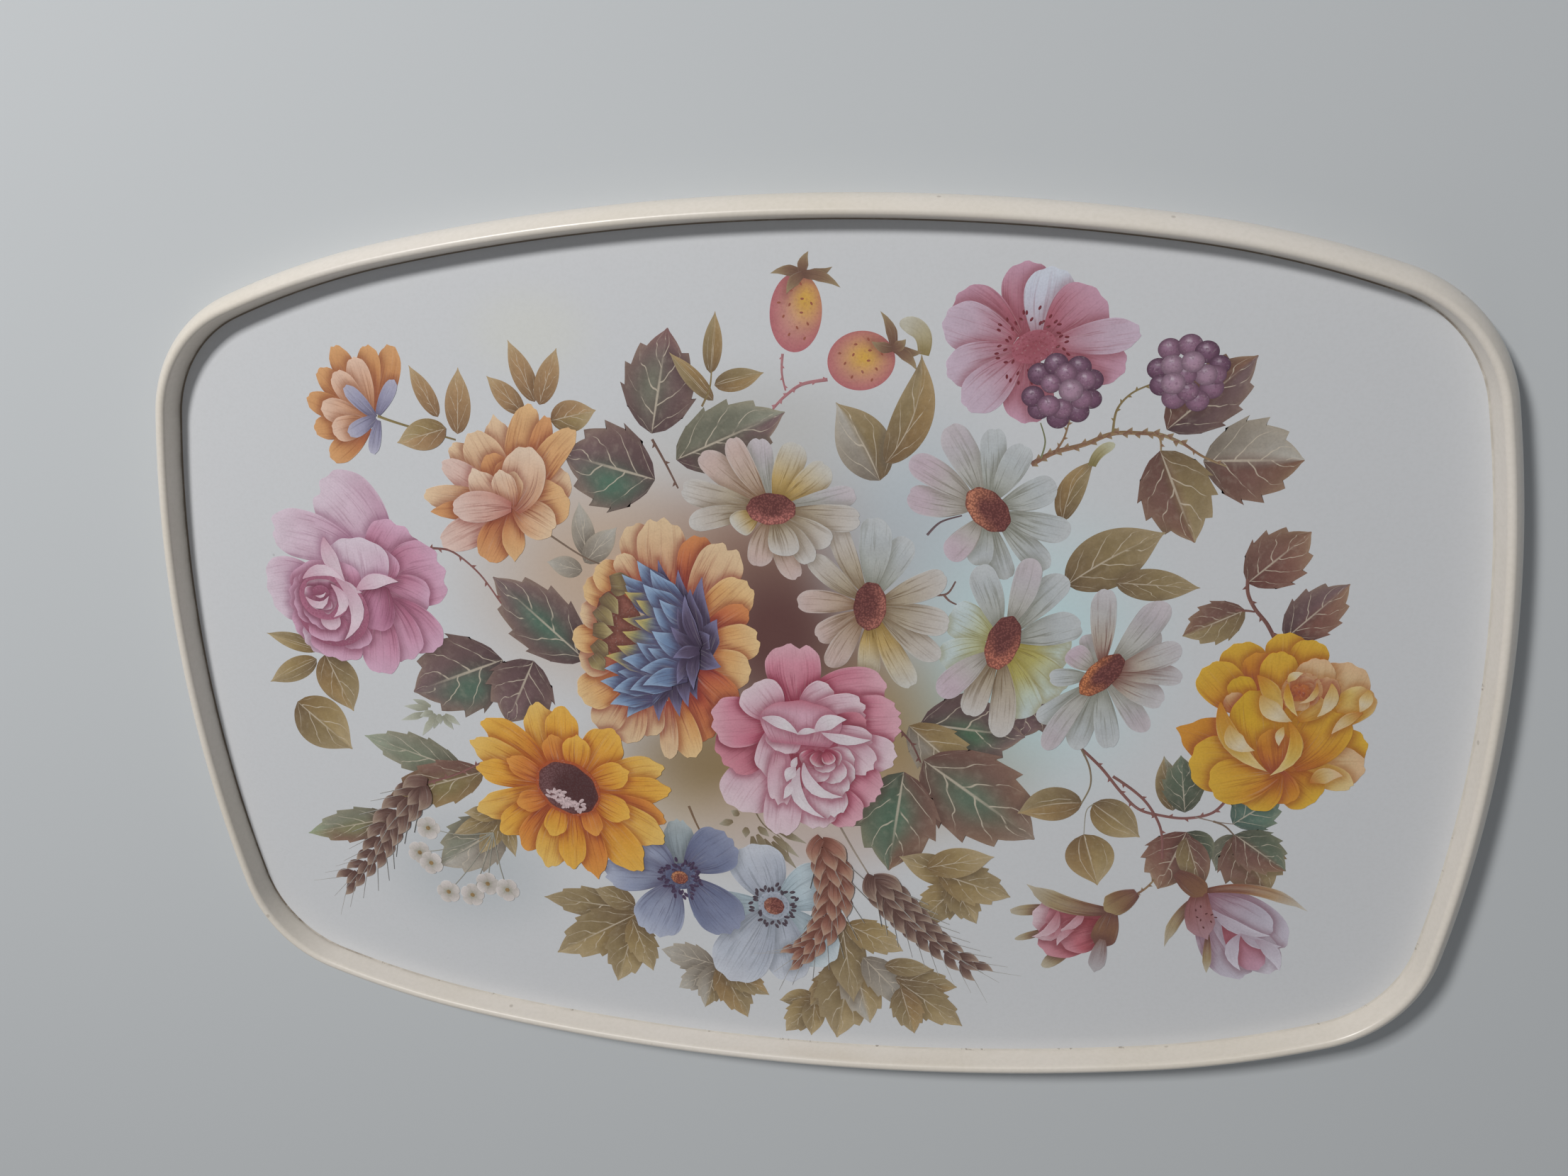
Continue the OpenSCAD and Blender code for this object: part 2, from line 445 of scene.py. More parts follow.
# A thin strip along the seam, painted with dirt and with the rim's shadow.
seam_strip = sweep("seam_dirt_and_shade", [(-0.42, 7.004), (-0.2, 7.1), (-0.02, 7.28), (0.12, 7.5), (0.3, 7.2),
                            (0.2, 6.9), (-0.2, 6.95)],
              "", seam_finish())
print(rim.name, "and", seam_strip.name, "have", len(rim.data.polygons) + len(seam_strip.data.polygons), "faces")

# %% [markdown]
# ## The underside
# Below the face sheet are a brown board, a plain backing sheet and a bead of
# amber glue in the corner. Each gets its own finish.

# %% Board, backing and glue
def dress(node, material):
    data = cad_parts[node].data
    data.materials.clear()
    data.materials.append(material)


def board_finish():
    finish = Finish("brown_hardboard", 0.8)
    place = finish.place()
    stretched = finish.node("ShaderNodeMapping", {"Vector": place, "Scale": (1, 1, 6)})
    fibres = finish.noise(stretched, 420, 5, 0.65)
    finish.colour(finish.mix(fibres, rgba(tint("5f4530")), rgba(tint("8c6a48"))))
    finish.bump(fibres, 0.4, 0.0006)
    return finish.material


def backing_finish():
    finish = Finish("matt_backing", 0.6)
    place = finish.place()
    cloud = finish.band(finish.noise(place, 14, 4), 0.35, 0.7)
    colour = finish.mix(cloud, rgba(tint("b8b1a6")), rgba(tint("b0a798")))
    pebble = finish.node("ShaderNodeTexVoronoi", {"Vector": place, "Scale": 900}, feature="SMOOTH_F1")
    colour = finish.mix(finish.band(pebble, 0.2, 0.8), colour, (0.9, 0.9, 0.9, 1), "MULTIPLY")
    rubs = finish.noise(finish.node("ShaderNodeMapping", {"Vector": place, "Scale": (3, 26, 1),
                                                          "Rotation": (0, 0, 0.5)}), 8, 4, 0.7)
    colour = finish.mix(finish.maths("MULTIPLY", finish.band(rubs, 0.6, 0.74), 0.4), colour,
                        rgba(tint("8f877a")))
    finish.colour(colour)
    finish.bump(pebble, 0.35, 0.0004)
    return finish.material


def glue_finish():
    finish = Finish("amber_glue", 0.3)
    place = finish.place()
    lumps = finish.noise(place, 160, 4, 0.6)
    finish.colour(finish.mix(finish.band(lumps, 0.3, 0.7), rgba(tint("8a6230")), rgba(tint("b38a4c"))))
    finish.bump(lumps, 0.5, 0.001)
    return finish.material


dress("core_board", board_finish())
dress("backing_sheet", backing_finish())
dress("glue_bead", glue_finish())
print("the underside has its finishes")

# %% [markdown]
# ## The painting kit
# A printed flower is many brush strokes, one over the other. Each stroke here
# is a real sheet of ink: a flat grid of points with a thin wall, a hundredth of
# a millimetre above the sheet that it covers. The grid carries the paint's
# colour, and two numbers that tell the finish where the veins run.

# %% Sheets of ink
sheets = []
STEP = 0.014 * MM
MOST_RIBS = 20
SPIRAL_TURN = 2.39996
seeds = np.random.default_rng(7)


def lay(piece, finish, xy, paint, vein, lane, deep=None, crease=0.0, casts=True):
    """Keeps one sheet of ink: xy is rows x columns x 2, in millimetres."""
    sheets.append({"piece": piece, "finish": finish, "xy": xy, "paint": paint, "vein": vein,
                   "lane": lane, "deep": deep, "crease": crease, "casts": casts})


def blend(first, second, share):
    share = np.clip(share, 0, 1)[..., None]
    return first * (1 - share) + second * share


def ramp(shades, t):
    """Colours in equal steps from root to tip, at every value of t."""
    stops = np.linspace(0, 1, len(shades))
    return np.stack([np.interp(t, stops, [s[i] for s in shades]) for i in range(3)], -1)


def spine(base, tip, bend, t):
    """Points along a bowed line, and the direction across it."""
    base, tip = np.array(base, float), np.array(tip, float)
    run = tip - base
    side = np.array((-run[1], run[0]))
    point = base + t[..., None] * run + (4 * bend * t * (1 - t))[..., None] * side
    ahead = run + (4 * bend * (1 - 2 * t))[..., None] * side
    across = np.stack((-ahead[..., 1], ahead[..., 0]), -1)
    return point, across / np.linalg.norm(across, axis=-1, keepdims=True)


def inks(*codes):
    return [tint(code) for code in codes]


print("the kit starts with", len(sheets), "sheets")

# %% [markdown]
# ## Petals
# A petal grows from a narrow root, is widest past its middle, and ends in a
# round, pointed, notched or frilled edge. `cap` says where the rounding of the
# end starts, so one formula draws every petal in the bouquet.

# %% Petals
def petal(piece, base, tip, wide, shades, root=0.3, belly=0.7, cap=0.7, bend=0.0, point=0.0,
          notch=0.0, frill=0.0, frills=3, lean=0.0, rim=None, rim_share=0.5, glow=0.0,
          streak=0.45, crease=0.55, finish="petal", casts=True, skew=0.0):
    length = math.dist(base, tip)
    rows = int(np.clip(length / 1.25 + 4, 6, 30))
    columns = int(np.clip(wide / 1.2 + 5, 5, 27)) | 1
    v = np.sin(np.linspace(-1, 1, columns) * math.pi / 2)[None, :]
    s = np.linspace(0, 1, rows)[:, None]
    seed = float(seeds.uniform(0, 90))
    if point:
        edge = (1 - np.abs(v)) ** point
    else:
        edge = (1 - np.abs(v) ** 2.2) ** 0.5
    reach = cap + (1 - cap) * edge - notch * np.exp(-((v - skew) / 0.2) ** 2)
    reach = reach + frill * np.cos(frills * math.pi * v + seed) * (1 - v ** 6) + skew * v * 0.12
    t = s * reach
    swell = np.sin(math.pi / 2 * np.minimum(t / belly, 1)) ** 0.9
    past = np.maximum(t - belly, 0) / (1 - belly + 1e-6)
    half = wide / 2 * (root + (1 - root) * swell - 0.1 * past ** 2)
    point_xy, across = spine(base, tip, bend, t)
    xy = point_xy + across * (half * v)[..., None]
    paint = ramp(shades, np.clip(t / reach.max(), 0, 1))
    if glow:
        lit = glow * np.exp(-(v / 0.5) ** 2) * np.sin(math.pi * np.clip(t, 0, 1))
        paint = blend(paint, shades[-1] * 1.12, lit)
    if lean:
        paint = blend(paint, shades[0], np.clip(v * np.sign(lean), 0, 1) ** 1.5 * abs(lean))
    rim = shades[-1] * 1.1 if rim is None else rim
    near = np.maximum(np.abs(v) ** 2, s + 0 * v)
    at_edge = rim_share * np.clip((near - 0.7) / 0.3, 0, 1) ** 1.5 * np.clip(s * 3 - 1, 0, 1)
    paint = blend(paint, rim, at_edge)
    lanes = max(7, wide * 1.5)
    lane = np.stack((v * lanes / 2 + 0 * t, t * length / 16 + 0 * v, seed + 0 * t + 0 * v), -1)
    fade = streak * np.clip(1.15 - t, 0, 1) ** 1.3
    vein = np.concatenate((np.broadcast_to(shades[0] * 0.75, xy.shape[:2] + (3,)), fade[..., None]), -1)
    lay(piece, finish, xy, paint, vein, lane, shades[0] * 0.8, crease, casts)


print("petals are ready")

# %% [markdown]
# ## Leaves
# A leaf is a lens with a midrib, and most here are toothed like rose leaves.
# The two halves are painted differently, one in light and one in shade. The
# finish draws the ribs from the numbers across and along the leaf.

# %% Leaves
def leaf(piece, base, tip, wide, left, right, belly=0.42, bend=0.0, teeth=0, tooth=0.2, ribs=4,
         rib="bfb4a4", full=0.72, crease=0.5, heart=None, heart_at=0.38,
         tail=None):
    length = math.dist(base, tip)
    rows = teeth * 5 + 1 if teeth else int(np.clip(length / 1.2 + 4, 8, 30))
    columns = int(np.clip(wide / 1.3 + 4, 7, 23)) | 1
    v = np.linspace(-1, 1, columns)[None, :]
    v = np.sign(v) * np.abs(v) ** 0.85
    t = np.linspace(0, 1, rows)[:, None]
    swell = np.sin(math.pi * t ** (math.log(0.5) / math.log(belly))) ** (full + 0.5 * t ** 4)
    half = wide / 2 * np.maximum(swell, 0.015)
    if teeth:
        saw = (t * teeth) % 1.0
        cut = tooth * (saw ** 1.6 - 0.5) * np.abs(v) ** 4
        half = half * (1 + cut * np.clip(t * 5, 0, 1) * np.clip(5 - 5 * t, 0, 1))
    seed = float(seeds.uniform(0, 90))
    reach = t + 0.0 * v
    point_xy, across = spine(base, tip, bend, reach)
    if teeth:
        slant = 0.5 * wide * np.abs(v) ** 4 * saw / teeth * np.clip(4 - 4 * t, 0, 1)
        point_xy = point_xy + (np.array(tip, float) - np.array(base, float)) / length * slant[..., None]
    xy = point_xy + across * (half * v)[..., None]
    paint = blend(ramp(right, reach), ramp(left, reach), 0.5 + v * 2.5 + 0 * t)
    paint = paint * (0.86 + 0.2 * np.sqrt(reach))[..., None]
    paint = blend(paint, tint("a5947a"), 0.4 * np.abs(v) ** 3 * reach)
    if tail is not None:
        paint = blend(paint, tint(tail), np.clip((reach - 0.7) / 0.3, 0, 1))
    if heart is not None:
        glow = np.exp(-((v - heart_at) / 0.46) ** 2 - ((t - 0.45) / 0.33) ** 2)
        paint = blend(paint, tint(heart), 0.9 * glow)
    paint = paint * (1 - 0.2 * np.exp(-((v + 0.1) / 0.14) ** 2) + 0.0 * t)[..., None]
    paint = paint * (1 + 0.1 * np.cos(v * 5.0) * (1 - np.abs(v)) + 0.0 * t)[..., None]
    lane = np.stack((v + 0 * t, reach, seed + 0 * reach), -1)
    vein = np.concatenate((np.broadcast_to(tint(rib), xy.shape[:2] + (3,)),
                           np.full(xy.shape[:2] + (1,), ribs / MOST_RIBS)), -1)
    lay(piece, "leaf", xy, paint, vein, lane, ramp(left, np.array([0.0]))[0] * 0.6, crease)


print("leaves are ready")

# %% [markdown]
# ## Rounds
# Flower discs, drupelets and hips are rounds. A square grid is bent into a disc
# so that its paint can change in both directions.

# %% Rounds
def round_spot(piece, centre, rx, ry, turn, shade, vein, finish="petal", rough=0.0,
               crease=0.3, casts=True, strength=0.6):
    n = int(np.clip(max(rx, ry) / 0.6 + 5, 7, 25)) | 1
    a, b = np.meshgrid(np.linspace(-1, 1, n), np.linspace(-1, 1, n), indexing="ij")
    x = a * np.sqrt(1 - b * b / 2)
    y = b * np.sqrt(1 - a * a / 2)
    seed = float(seeds.uniform(0, 90))
    if rough:
        lump = 1 + rough * np.sin(np.arctan2(y, x) * 9 + seed) * np.hypot(x, y) ** 4
        x, y = x * lump, y * lump
    c, s = math.cos(math.radians(turn)), math.sin(math.radians(turn))
    xy = np.stack((centre[0] + rx * x * c - ry * y * s, centre[1] + rx * x * s + ry * y * c), -1)
    paint = shade(x, y)
    lane = np.stack((xy[..., 0], xy[..., 1], seed + 0 * x), -1)
    veins = np.concatenate((np.broadcast_to(vein, xy.shape[:2] + (3,)),
                            np.full(xy.shape[:2] + (1,), strength)), -1)
    lay(piece, finish, xy, paint, veins, lane, vein * 0.7, crease, casts)


# %% [markdown]
# ## Stems
# A stem is a ribbon along a smooth curve through a few points. It is darker
# along one side. Small thorns stand to the left and the right by turns, and
# they lean forward.

# %% Stems and thorns
def curve_through(points, steps):
    """A smooth line through a few points, as a Catmull-Rom spline."""
    p = np.array([points[0]] + list(points) + [points[-1]], float)
    out = []
    for i in range(1, len(p) - 2):
        for t in np.linspace(0, 1, steps, endpoint=False):
            a = 2 * p[i]
            b = (p[i + 1] - p[i - 1]) * t
            c = (2 * p[i - 1] - 5 * p[i] + 4 * p[i + 1] - p[i + 2]) * t * t
            d = (3 * p[i] - p[i - 1] - 3 * p[i + 1] + p[i + 2]) * t ** 3
            out.append((a + b + c + d) / 2)
    return np.array(out + [p[-2]])


def stem(piece, points, wide, shades, thin=0.6, thorns=0, thorn=1.6):
    line = curve_through(points, 7)
    ahead = np.gradient(line, axis=0)
    across = np.stack((-ahead[:, 1], ahead[:, 0]), -1)
    across = across / np.linalg.norm(across, axis=1, keepdims=True)
    t = np.linspace(0, 1, len(line))
    half = wide / 2 * (1 + (thin - 1) * t)
    v = np.linspace(-1, 1, 5)
    xy = line[:, None, :] + across[:, None, :] * (half[:, None] * v[None, :])[..., None]
    paint = ramp(shades, t)[:, None, :] * (1.12 - 0.3 * (v[None, :, None] + 1) / 2)
    seed = float(seeds.uniform(0, 90))
    lane = np.stack((v[None, :] * 1.5 + 0 * t[:, None], t[:, None] * 6 + 0 * v[None, :],
                     seed + 0 * xy[..., 0]), -1)
    vein = np.concatenate((np.broadcast_to(shades[0] * 0.7, xy.shape[:2] + (3,)),
                           np.full(xy.shape[:2] + (1,), 0.5)), -1)
    lay(piece, "petal", xy, paint, vein, lane, shades[0] * 0.7, 0.3, False)
    for i in range(thorns):
        k = int((i + 0.6) / thorns * (len(line) - 1))
        side = 1 if i % 2 else -1
        foot = line[k]
        lean = ahead[k] / np.linalg.norm(ahead[k]) * 0.5
        end = foot + (across[k] * side + lean) * thorn
        petal(piece, tuple(foot), tuple(end), wide * 1.1, [shades[0], shades[-1]], root=0.9, belly=0.5,
              cap=0.2, point=1.0, streak=0.0, crease=0.0, casts=False)


print("rounds and stems are ready")

# %% [markdown]
# ## Blooms and folds
# A bloom is a list of petals, from the back to the front. A fold is the turned
# edge of a petal.

# %% Blooms and folds
def bloom(name, rows, **common):
    names = spread(name, len(rows), 5)
    for piece, (root, tip, wide, shades, *more) in zip(names, rows):
        options = {"belly": 0.62, "cap": 0.72, "root": 0.35, "frill": 0.015, "streak": 0.65,
                   "crease": 0.7, "glow": 0.25}
        options.update(common)
        options.update(more[0] if more else {})
        petal(piece, root, tip, wide, shades, **options)


def fold(piece, start, end, wide, bend, shades, **options):
    """A petal's turned edge: a crescent, pointed at both ends."""
    length = math.dist(start, end)
    settings = {"root": 0.08, "belly": 0.5, "cap": 0.4, "point": 0.6, "streak": 0.25, "crease": 0.3}
    settings.update(options)
    petal(piece, start, end, wide, shades, bend=bend / length, **settings)


print("blooms and folds are ready")

# %% [markdown]
# ## Groups and discs
# A flower with many petals is split into a few pieces of four or five
# petals. A disc is an oval with a hollow middle and a lit side.

# %% Petal groups and discs
def spread(name, count, each=4):
    """Names for petals in groups, so that no piece grows too large."""
    return [name + "_petals_" + str(i // each + 1) for i in range(count)]


def disc(piece, centre, rx, ry, turn, lit, lit_side, hollow="6d4240", grain="a36a58"):
    """A pollen disc: a ring lit on one side round a dark hollow."""
    def shade(x, y):
        far = np.hypot(x, y)
        side = (x * math.cos(math.radians(lit_side)) + y * math.sin(math.radians(lit_side)))
        ring = np.clip((side + 0.6 * far) / 1.1, 0, 1) * np.clip(far * 3 - 0.9, 0, 1)
        colour = blend(tint(hollow) + 0 * far[..., None], tint(lit), ring)
        return blend(colour, tint("6a3d38"), np.clip((far - 0.9) / 0.1, 0, 1) * 0.6)
    round_spot(piece, centre, rx, ry, turn, shade, tint(grain), "pollen", 0.02, crease=0.0, strength=0.22)


print("discs are ready")

# %% [markdown]
# ## Leaf colours
# The leaves lie behind the flowers. A row is: base, tip, width, colours of the
# left half and of the right half, and any options of `leaf`.

# %% Leaf colours
BROWN = inks("6b4f49", "755750", "7c5f4f")
OLIVE = inks("75624c", "867556", "948468")
TAN = inks("7f6849", "96825c", "a8987a")
GREEN = inks("54564c", "5a6456", "667062")
PLUM = inks("5c494b", "6a5456", "766264")
SAGE = inks("6c695c", "7b7c6e", "8d8e82")
TEAL = inks("556660", "5f776b", "71877c")
OCHRE_LEAF = inks("7a634a", "8f7652", "a08a66")
GREY_LEAF = inks("7c7268", "979087", "aaa7a1")
RUSSET = inks("6b4844", "7c5850", "927664")
SAW = {"teeth": 5, "ribs": 4}


def glowing(code, at=0.38, tail=None):
    return {"teeth": 5, "ribs": 4, "heart": code, "heart_at": at, "tail": tail}


def leaf_rows(name, rows):
    for i, (base, tip, wide, left, right, *more) in enumerate(rows):
        options = dict(more[0]) if more else {}
        leaf(name + "_" + str(i + 1), base, tip, wide, left, right, **options)


print("leaf colours are ready")

# %% [markdown]
# ## Leaves at the right
# Brown and olive leaves stand round the two bramble fruits and the yellow rose.
# The bramble's stem is long and has many thorns.

# %% Leaves and stems at the right
leaf_rows("leaf_right", [
    ((125.4, 86.7), (151, 109.4), 21, BROWN, PLUM, SAW),
    ((137, 76.7), (167, 77), 28, GREY_LEAF, BROWN, SAW), ((123.8, 80), (136, 50), 24, OLIVE, BROWN, SAW),
    ((94.5, 56.7), (104, 77), 8.5, OCHRE_LEAF, OLIVE, {"bend": 0.1, "ribs": 2}),
    ((96.5, 35), (126.8, 53.3), 19, OLIVE, OLIVE, {"bend": 0.03}),
    ((112, 36), (138.6, 34.8), 11, OLIVE, OLIVE), ((153, 36.7), (171, 54), 20, BROWN, RUSSET, SAW),
    ((153, 27.5), (134, 18), 15, OLIVE, BROWN, SAW), ((166, 18), (184, 37), 17, PLUM, RUSSET, SAW),
])
petal("leaf_right_4", (103, 75), (110, 82), 3.5, inks("7b7048", "9a9270", "b0b09a"), bend=0.15, root=0.7)
stem("stem_right_1", [(153, 38), (153.5, 33), (156, 28), (160, 23), (163, 17.5)], 1.1,
     inks("7a5750", "6b4a46"), thin=1.2, thorns=4)
stem("stem_right_1", [(150, 27.5), (154, 27.3), (156, 27)], 0.9, inks("7a5750", "6b4a46"))
BRAMBLE = inks("7b5a4c", "8d7355", "938368")
stem("stem_bramble", [(84, 75.5), (91, 79.4), (100.4, 82), (108.8, 85.4), (117.7, 85.6), (124, 85),
                      (131, 82)],
     1.7, BRAMBLE, thin=0.6, thorns=22, thorn=1.8)
stem("stem_bramble", [(131, 82), (137, 78), (144, 75)], 0.9, BRAMBLE, thorns=2, thorn=1.2)
stem("stem_bramble", [(91, 79), (94, 84), (95.6, 90)], 0.8, BRAMBLE, thorns=5, thorn=1.2)
stem("stem_bramble", [(87, 77.5), (88.2, 83), (86.6, 89)], 0.6, inks("76785a", "76785a"))
stem("stem_bramble", [(109, 86), (110, 93), (114, 98), (120, 101)], 0.8, inks("80704f", "80704f"), thorns=7,
     thorn=1.1)
stem("stem_bramble", [(117, 85.5), (123, 84.5), (124, 80)], 0.9, BRAMBLE, thorns=2, thorn=1.2)
stem("twig_daisy", [(50.5, 51.5), (55, 56), (62, 58.3)], 0.9, inks("6b5a5e", "5f4c50"), thin=0.5)
stem("twig_daisy", [(51, 30.5), (57, 31), (60, 35.5)], 0.9, inks("7a5f58", "6b5350"), thin=0.6)
stem("twig_daisy", [(56, 30.7), (58, 28.5), (61, 27)], 0.9, inks("7a5f58", "6b5350"), thin=0.5)
stem("twig_daisy", [(82.5, -16.5), (87, -16.6), (90.5, -17.4)], 0.8, inks("7a5f58", "6b5350"), thorns=5,
     thorn=1)
print(len(sheets), "sheets")

# %% [markdown]
# ## Below the daisies
# Dark rose leaves fan out under the pink peony.
# A long thorny stem runs from them to the yellow rose.

# %% Leaves and stems below the daisies
leaf_rows("leaf_below", [
    ((86, -2), (83, -20.5), 22, PLUM, PLUM, SAW),
    ((48, -17), (84, -20.5), 28, PLUM, PLUM, glowing("4f7058", -0.2)),
    ((44, -18), (68, -40), 20, TAN, GREY_LEAF, SAW),
    ((49, -31), (88, -60), 36, BROWN, BROWN, glowing("5f7464", -0.1, "8a7a70")),
    ((42, -36), (36, -76), 31, BROWN, GREEN, glowing("56705f", 0.0)),
    ((104, -44.8), (82, -50), 13, OCHRE_LEAF, OLIVE, {"ribs": 0, "bend": -0.06}),
    ((107.7, -44.8), (124, -57), 14, OLIVE, TAN, {"ribs": 0}),
    ((105, -57), (110.4, -77), 17, TAN, OCHRE_LEAF, {"ribs": 0}),
    ((134.5, -46), (130.5, -25.5), 9, OLIVE, SAGE, {"ribs": 3}),
    ((138.5, -46.5), (136, -25), 14, GREEN, GREEN, SAW), ((154.5, -50), (169, -38), 17, TEAL, TEAL, SAW),
    ((155.4, -54), (150, -68.5), 10, GREEN, SAGE, {"ribs": 3}),
    ((155.4, -54), (168, -76), 23, OLIVE, BROWN, SAW), ((155.4, -54), (173, -67), 17, GREEN, BROWN, SAW),
    ((139.5, -54), (148, -66), 12, GREEN, GREEN, {"ribs": 3}),
    ((139.5, -54), (131, -77), 21, BROWN, RUSSET, SAW),
    ((139.5, -56), (146, -76), 11, BROWN, OLIVE, {"ribs": 3}),
])
ROSE_STEM = inks("7b5752", "855c5a")
stem("stem_rose", [(102.7, -23.7), (110, -31), (117, -40), (123, -46), (130, -48), (139, -48.7),
                   (147.7, -46),
                   (153, -39)], 1.1, ROSE_STEM, thin=0.9, thorns=12, thorn=1.5)
stem("stem_rose", [(114, -34), (121, -39), (126, -44), (130, -51), (131.5, -57), (132, -65)], 1.1,
     ROSE_STEM,
     thin=0.7, thorns=5, thorn=1.5)
stem("stem_rose", [(103, -24), (106, -31), (106.5, -38), (103.8, -44.8)], 0.7, inks("7b6a5c", "8a8068"))
stem("stem_rose", [(107.8, -45), (105.5, -48), (105, -57)], 0.4, inks("8f8a7c", "8f8a7c"))
stem("stem_rose", [(142, -48), (149, -49.5), (155, -50)], 0.5, inks("8a7c74", "8a7c74"))
stem("stem_rose", [(148, -49.3), (152, -51), (155.4, -54.5)], 0.8, inks("7b6a5c", "6c5f54"))
stem("stem_rose", [(123.5, -80), (127, -77), (130, -73)], 0.9, BRAMBLE, thorns=4, thorn=1.2)
print(len(sheets), "sheets")

# %% [markdown]
# ## Leaves at the top
# These leaves frame the orange peony and the dahlia.

# %% Leaves at the top
leaf_rows("leaf_top", [
    ((-42, 86), (-34, 121), 26, PLUM, PLUM, glowing("6f7064", 0.2, "7d5c5c")),
    ((-42, 70), (-74, 79), 32, PLUM, PLUM, glowing("4f7060")),
    ((-34, 77), (4, 93), 24, SAGE, PLUM, glowing("6a6a5e")),
    ((-20, 97), (-34, 113), 6, OLIVE, OCHRE_LEAF, {"ribs": 0}),
    ((-20.4, 106), (-17.7, 126), 6.5, OLIVE, OCHRE_LEAF, {"ribs": 0}),
    ((-19.3, 102), (-2.5, 106), 7.5, OLIVE, OCHRE_LEAF, {"ribs": 0}),
    ((35, 70), (21, 96), 18, GREY_LEAF, OLIVE, {"ribs": 2, "bend": -0.04}),
    ((37, 76), (49, 111), 13, OLIVE, OCHRE_LEAF, {"ribs": 3, "bend": -0.1}),
])
petal("leaf_top_8", (49.5, 111), (42, 121), 6, inks("8a7a52", "a79f86", "b5b3a8"), bend=-0.3, root=0.6)
stem("twig_top", [(-24, 95), (-21, 101), (-20, 107)], 0.7, inks("7b6a4c", "857450"))
stem("twig_top", [(-42, 84), (-38, 76), (-34, 67)], 1.0, inks("6b544c", "6b544c"), thorns=3)
print(len(sheets), "sheets")

# %% [markdown]
# ## Leaves at the left
# Three dark rose leaves, a grey sprig, and the leaves behind the wheat.

# %% Leaves at the left
leaf_rows("leaf_left", [
    ((-73, 3), (-105, 34), 27, PLUM, PLUM, glowing("4f6c5e", 0.05)),
    ((-105, 2), (-142, -12), 33, PLUM, PLUM, glowing("546e60")),
    ((-93, 2), (-106, -23), 27, PLUM, PLUM, SAW),
    ((-69, 42), (-70, 62), 8.5, GREY_LEAF, GREY_LEAF, {"ribs": 2}),
    ((-70, 40), (-57, 53), 9, GREY_LEAF, GREY_LEAF, {"ribs": 2}),
    ((-71, 37), (-84, 40), 8, GREY_LEAF, GREY_LEAF, {"ribs": 2}),
    ((-126, -44), (-165, -31), 17, SAGE, SAGE, glowing("78806e", 0.2, "9aa392")),
    ((-118, -44), (-159, -57), 19, OCHRE_LEAF, BROWN, glowing("7b7150", 0.2)),
    ((-158, -66), (-196, -75), 15, BROWN, SAGE, glowing("7f7f60", 0.2, "93a083")),
    ((-178, 4), (-199, 10), 7, TAN, OLIVE, {"ribs": 0}),
    ((-180, 0), (-201, -10), 9, OLIVE, TAN, {"ribs": 0}),
    ((-176, 2), (-168, -21), 17, OLIVE, OCHRE_LEAF, {"ribs": 3}),
    ((-191, -18), (-171, -37), 22, TAN, OLIVE, {"ribs": 3}),
])
stem("twig_left", [(-130, 44), (-126, 44.4), (-119, 43), (-110, 35), (-103, 24)], 1.0, ROSE_STEM, thorns=8)
stem("twig_left", [(-142, -50), (-130, -46), (-118, -40)], 1.0, ROSE_STEM, thorns=4)
stem("twig_left", [(-82, 50), (-70, 42), (-60, 38)], 0.8, inks("7b6a5c", "6b5a50"))
print(len(sheets), "sheets")

# %% [markdown]
# ## Florets
# White florets hang on thin stalks over a grey leaf. Each is five tiny petals
# round a dot.

# %% Florets and pale leaves
FLORETS = [(-144, -69.6), (-149, -80.7), (-144.7, -85), (-139, -97.6), (-129, -98.3), (-122, -92.8),
           (-114, -95)]
leaf_rows("leaf_florets", [
    ((-112, -66), (-141, -86), 24, GREY_LEAF, SAGE, SAW),
    ((-112, -62), (-124, -80), 9, TAN, OLIVE, {"ribs": 2}),
    ((-114, -62), (-134, -72), 7, OLIVE, TAN, {"ribs": 2}),
    ((-113, -62), (-109, -80), 7, TAN, OLIVE, {"ribs": 2}),
    ((-114, -62), (-128, -62), 7, TAN, TAN, {"ribs": 2}),
])
for i, (x, y) in enumerate(FLORETS):
    piece = "florets_" + str(i // 4 + 1)
    bend_at = ((x - 118) / 2, (y - 72) / 2 - 1)
    stem("florets_stems", [(-117, -70), bend_at, (x, y)], 0.45, inks("8c8a80", "9a988e"))
    for k in range(5):
        turn = k * math.tau / 5 + i
        tip = (x + 5 * math.cos(turn), y + 5 * math.sin(turn))
        petal(piece, (x, y), tip, 4.8, inks("9a988a", "bdb6b4", "c6c0be"), root=0.4, crease=0.3, streak=0.2)
    round_spot(piece, (x, y), 0.9, 0.9, 0, lambda a, b: ramp(OCHRE_LEAF, 0.5 + 0 * a), tint("6b5a40"),
               crease=0.0)
PALE_LEAVES = [(-143, -15), (-147, -18), (-149, -24), (-141, -22), (-138, -25), (-136, -27), (-133, -25),
               (-128, -27), (-125, -25), (-141, -30)]
for x, y in PALE_LEAVES:
    petal("leaf_pale", (-133 + (x + 133) * 0.3, -19 + (y + 19) * 0.3), (x, y), 3.4,
          inks("8f8f80", "a4a698", "b0b3aa"), point=0.9, cap=0.4, streak=0.2)
print(len(sheets), "sheets")

# %% [markdown]
# ## Lobed leaves
# Each lobed leaf at the bottom is several toothed leaves that share one
# foot and spread like the fingers of a hand.

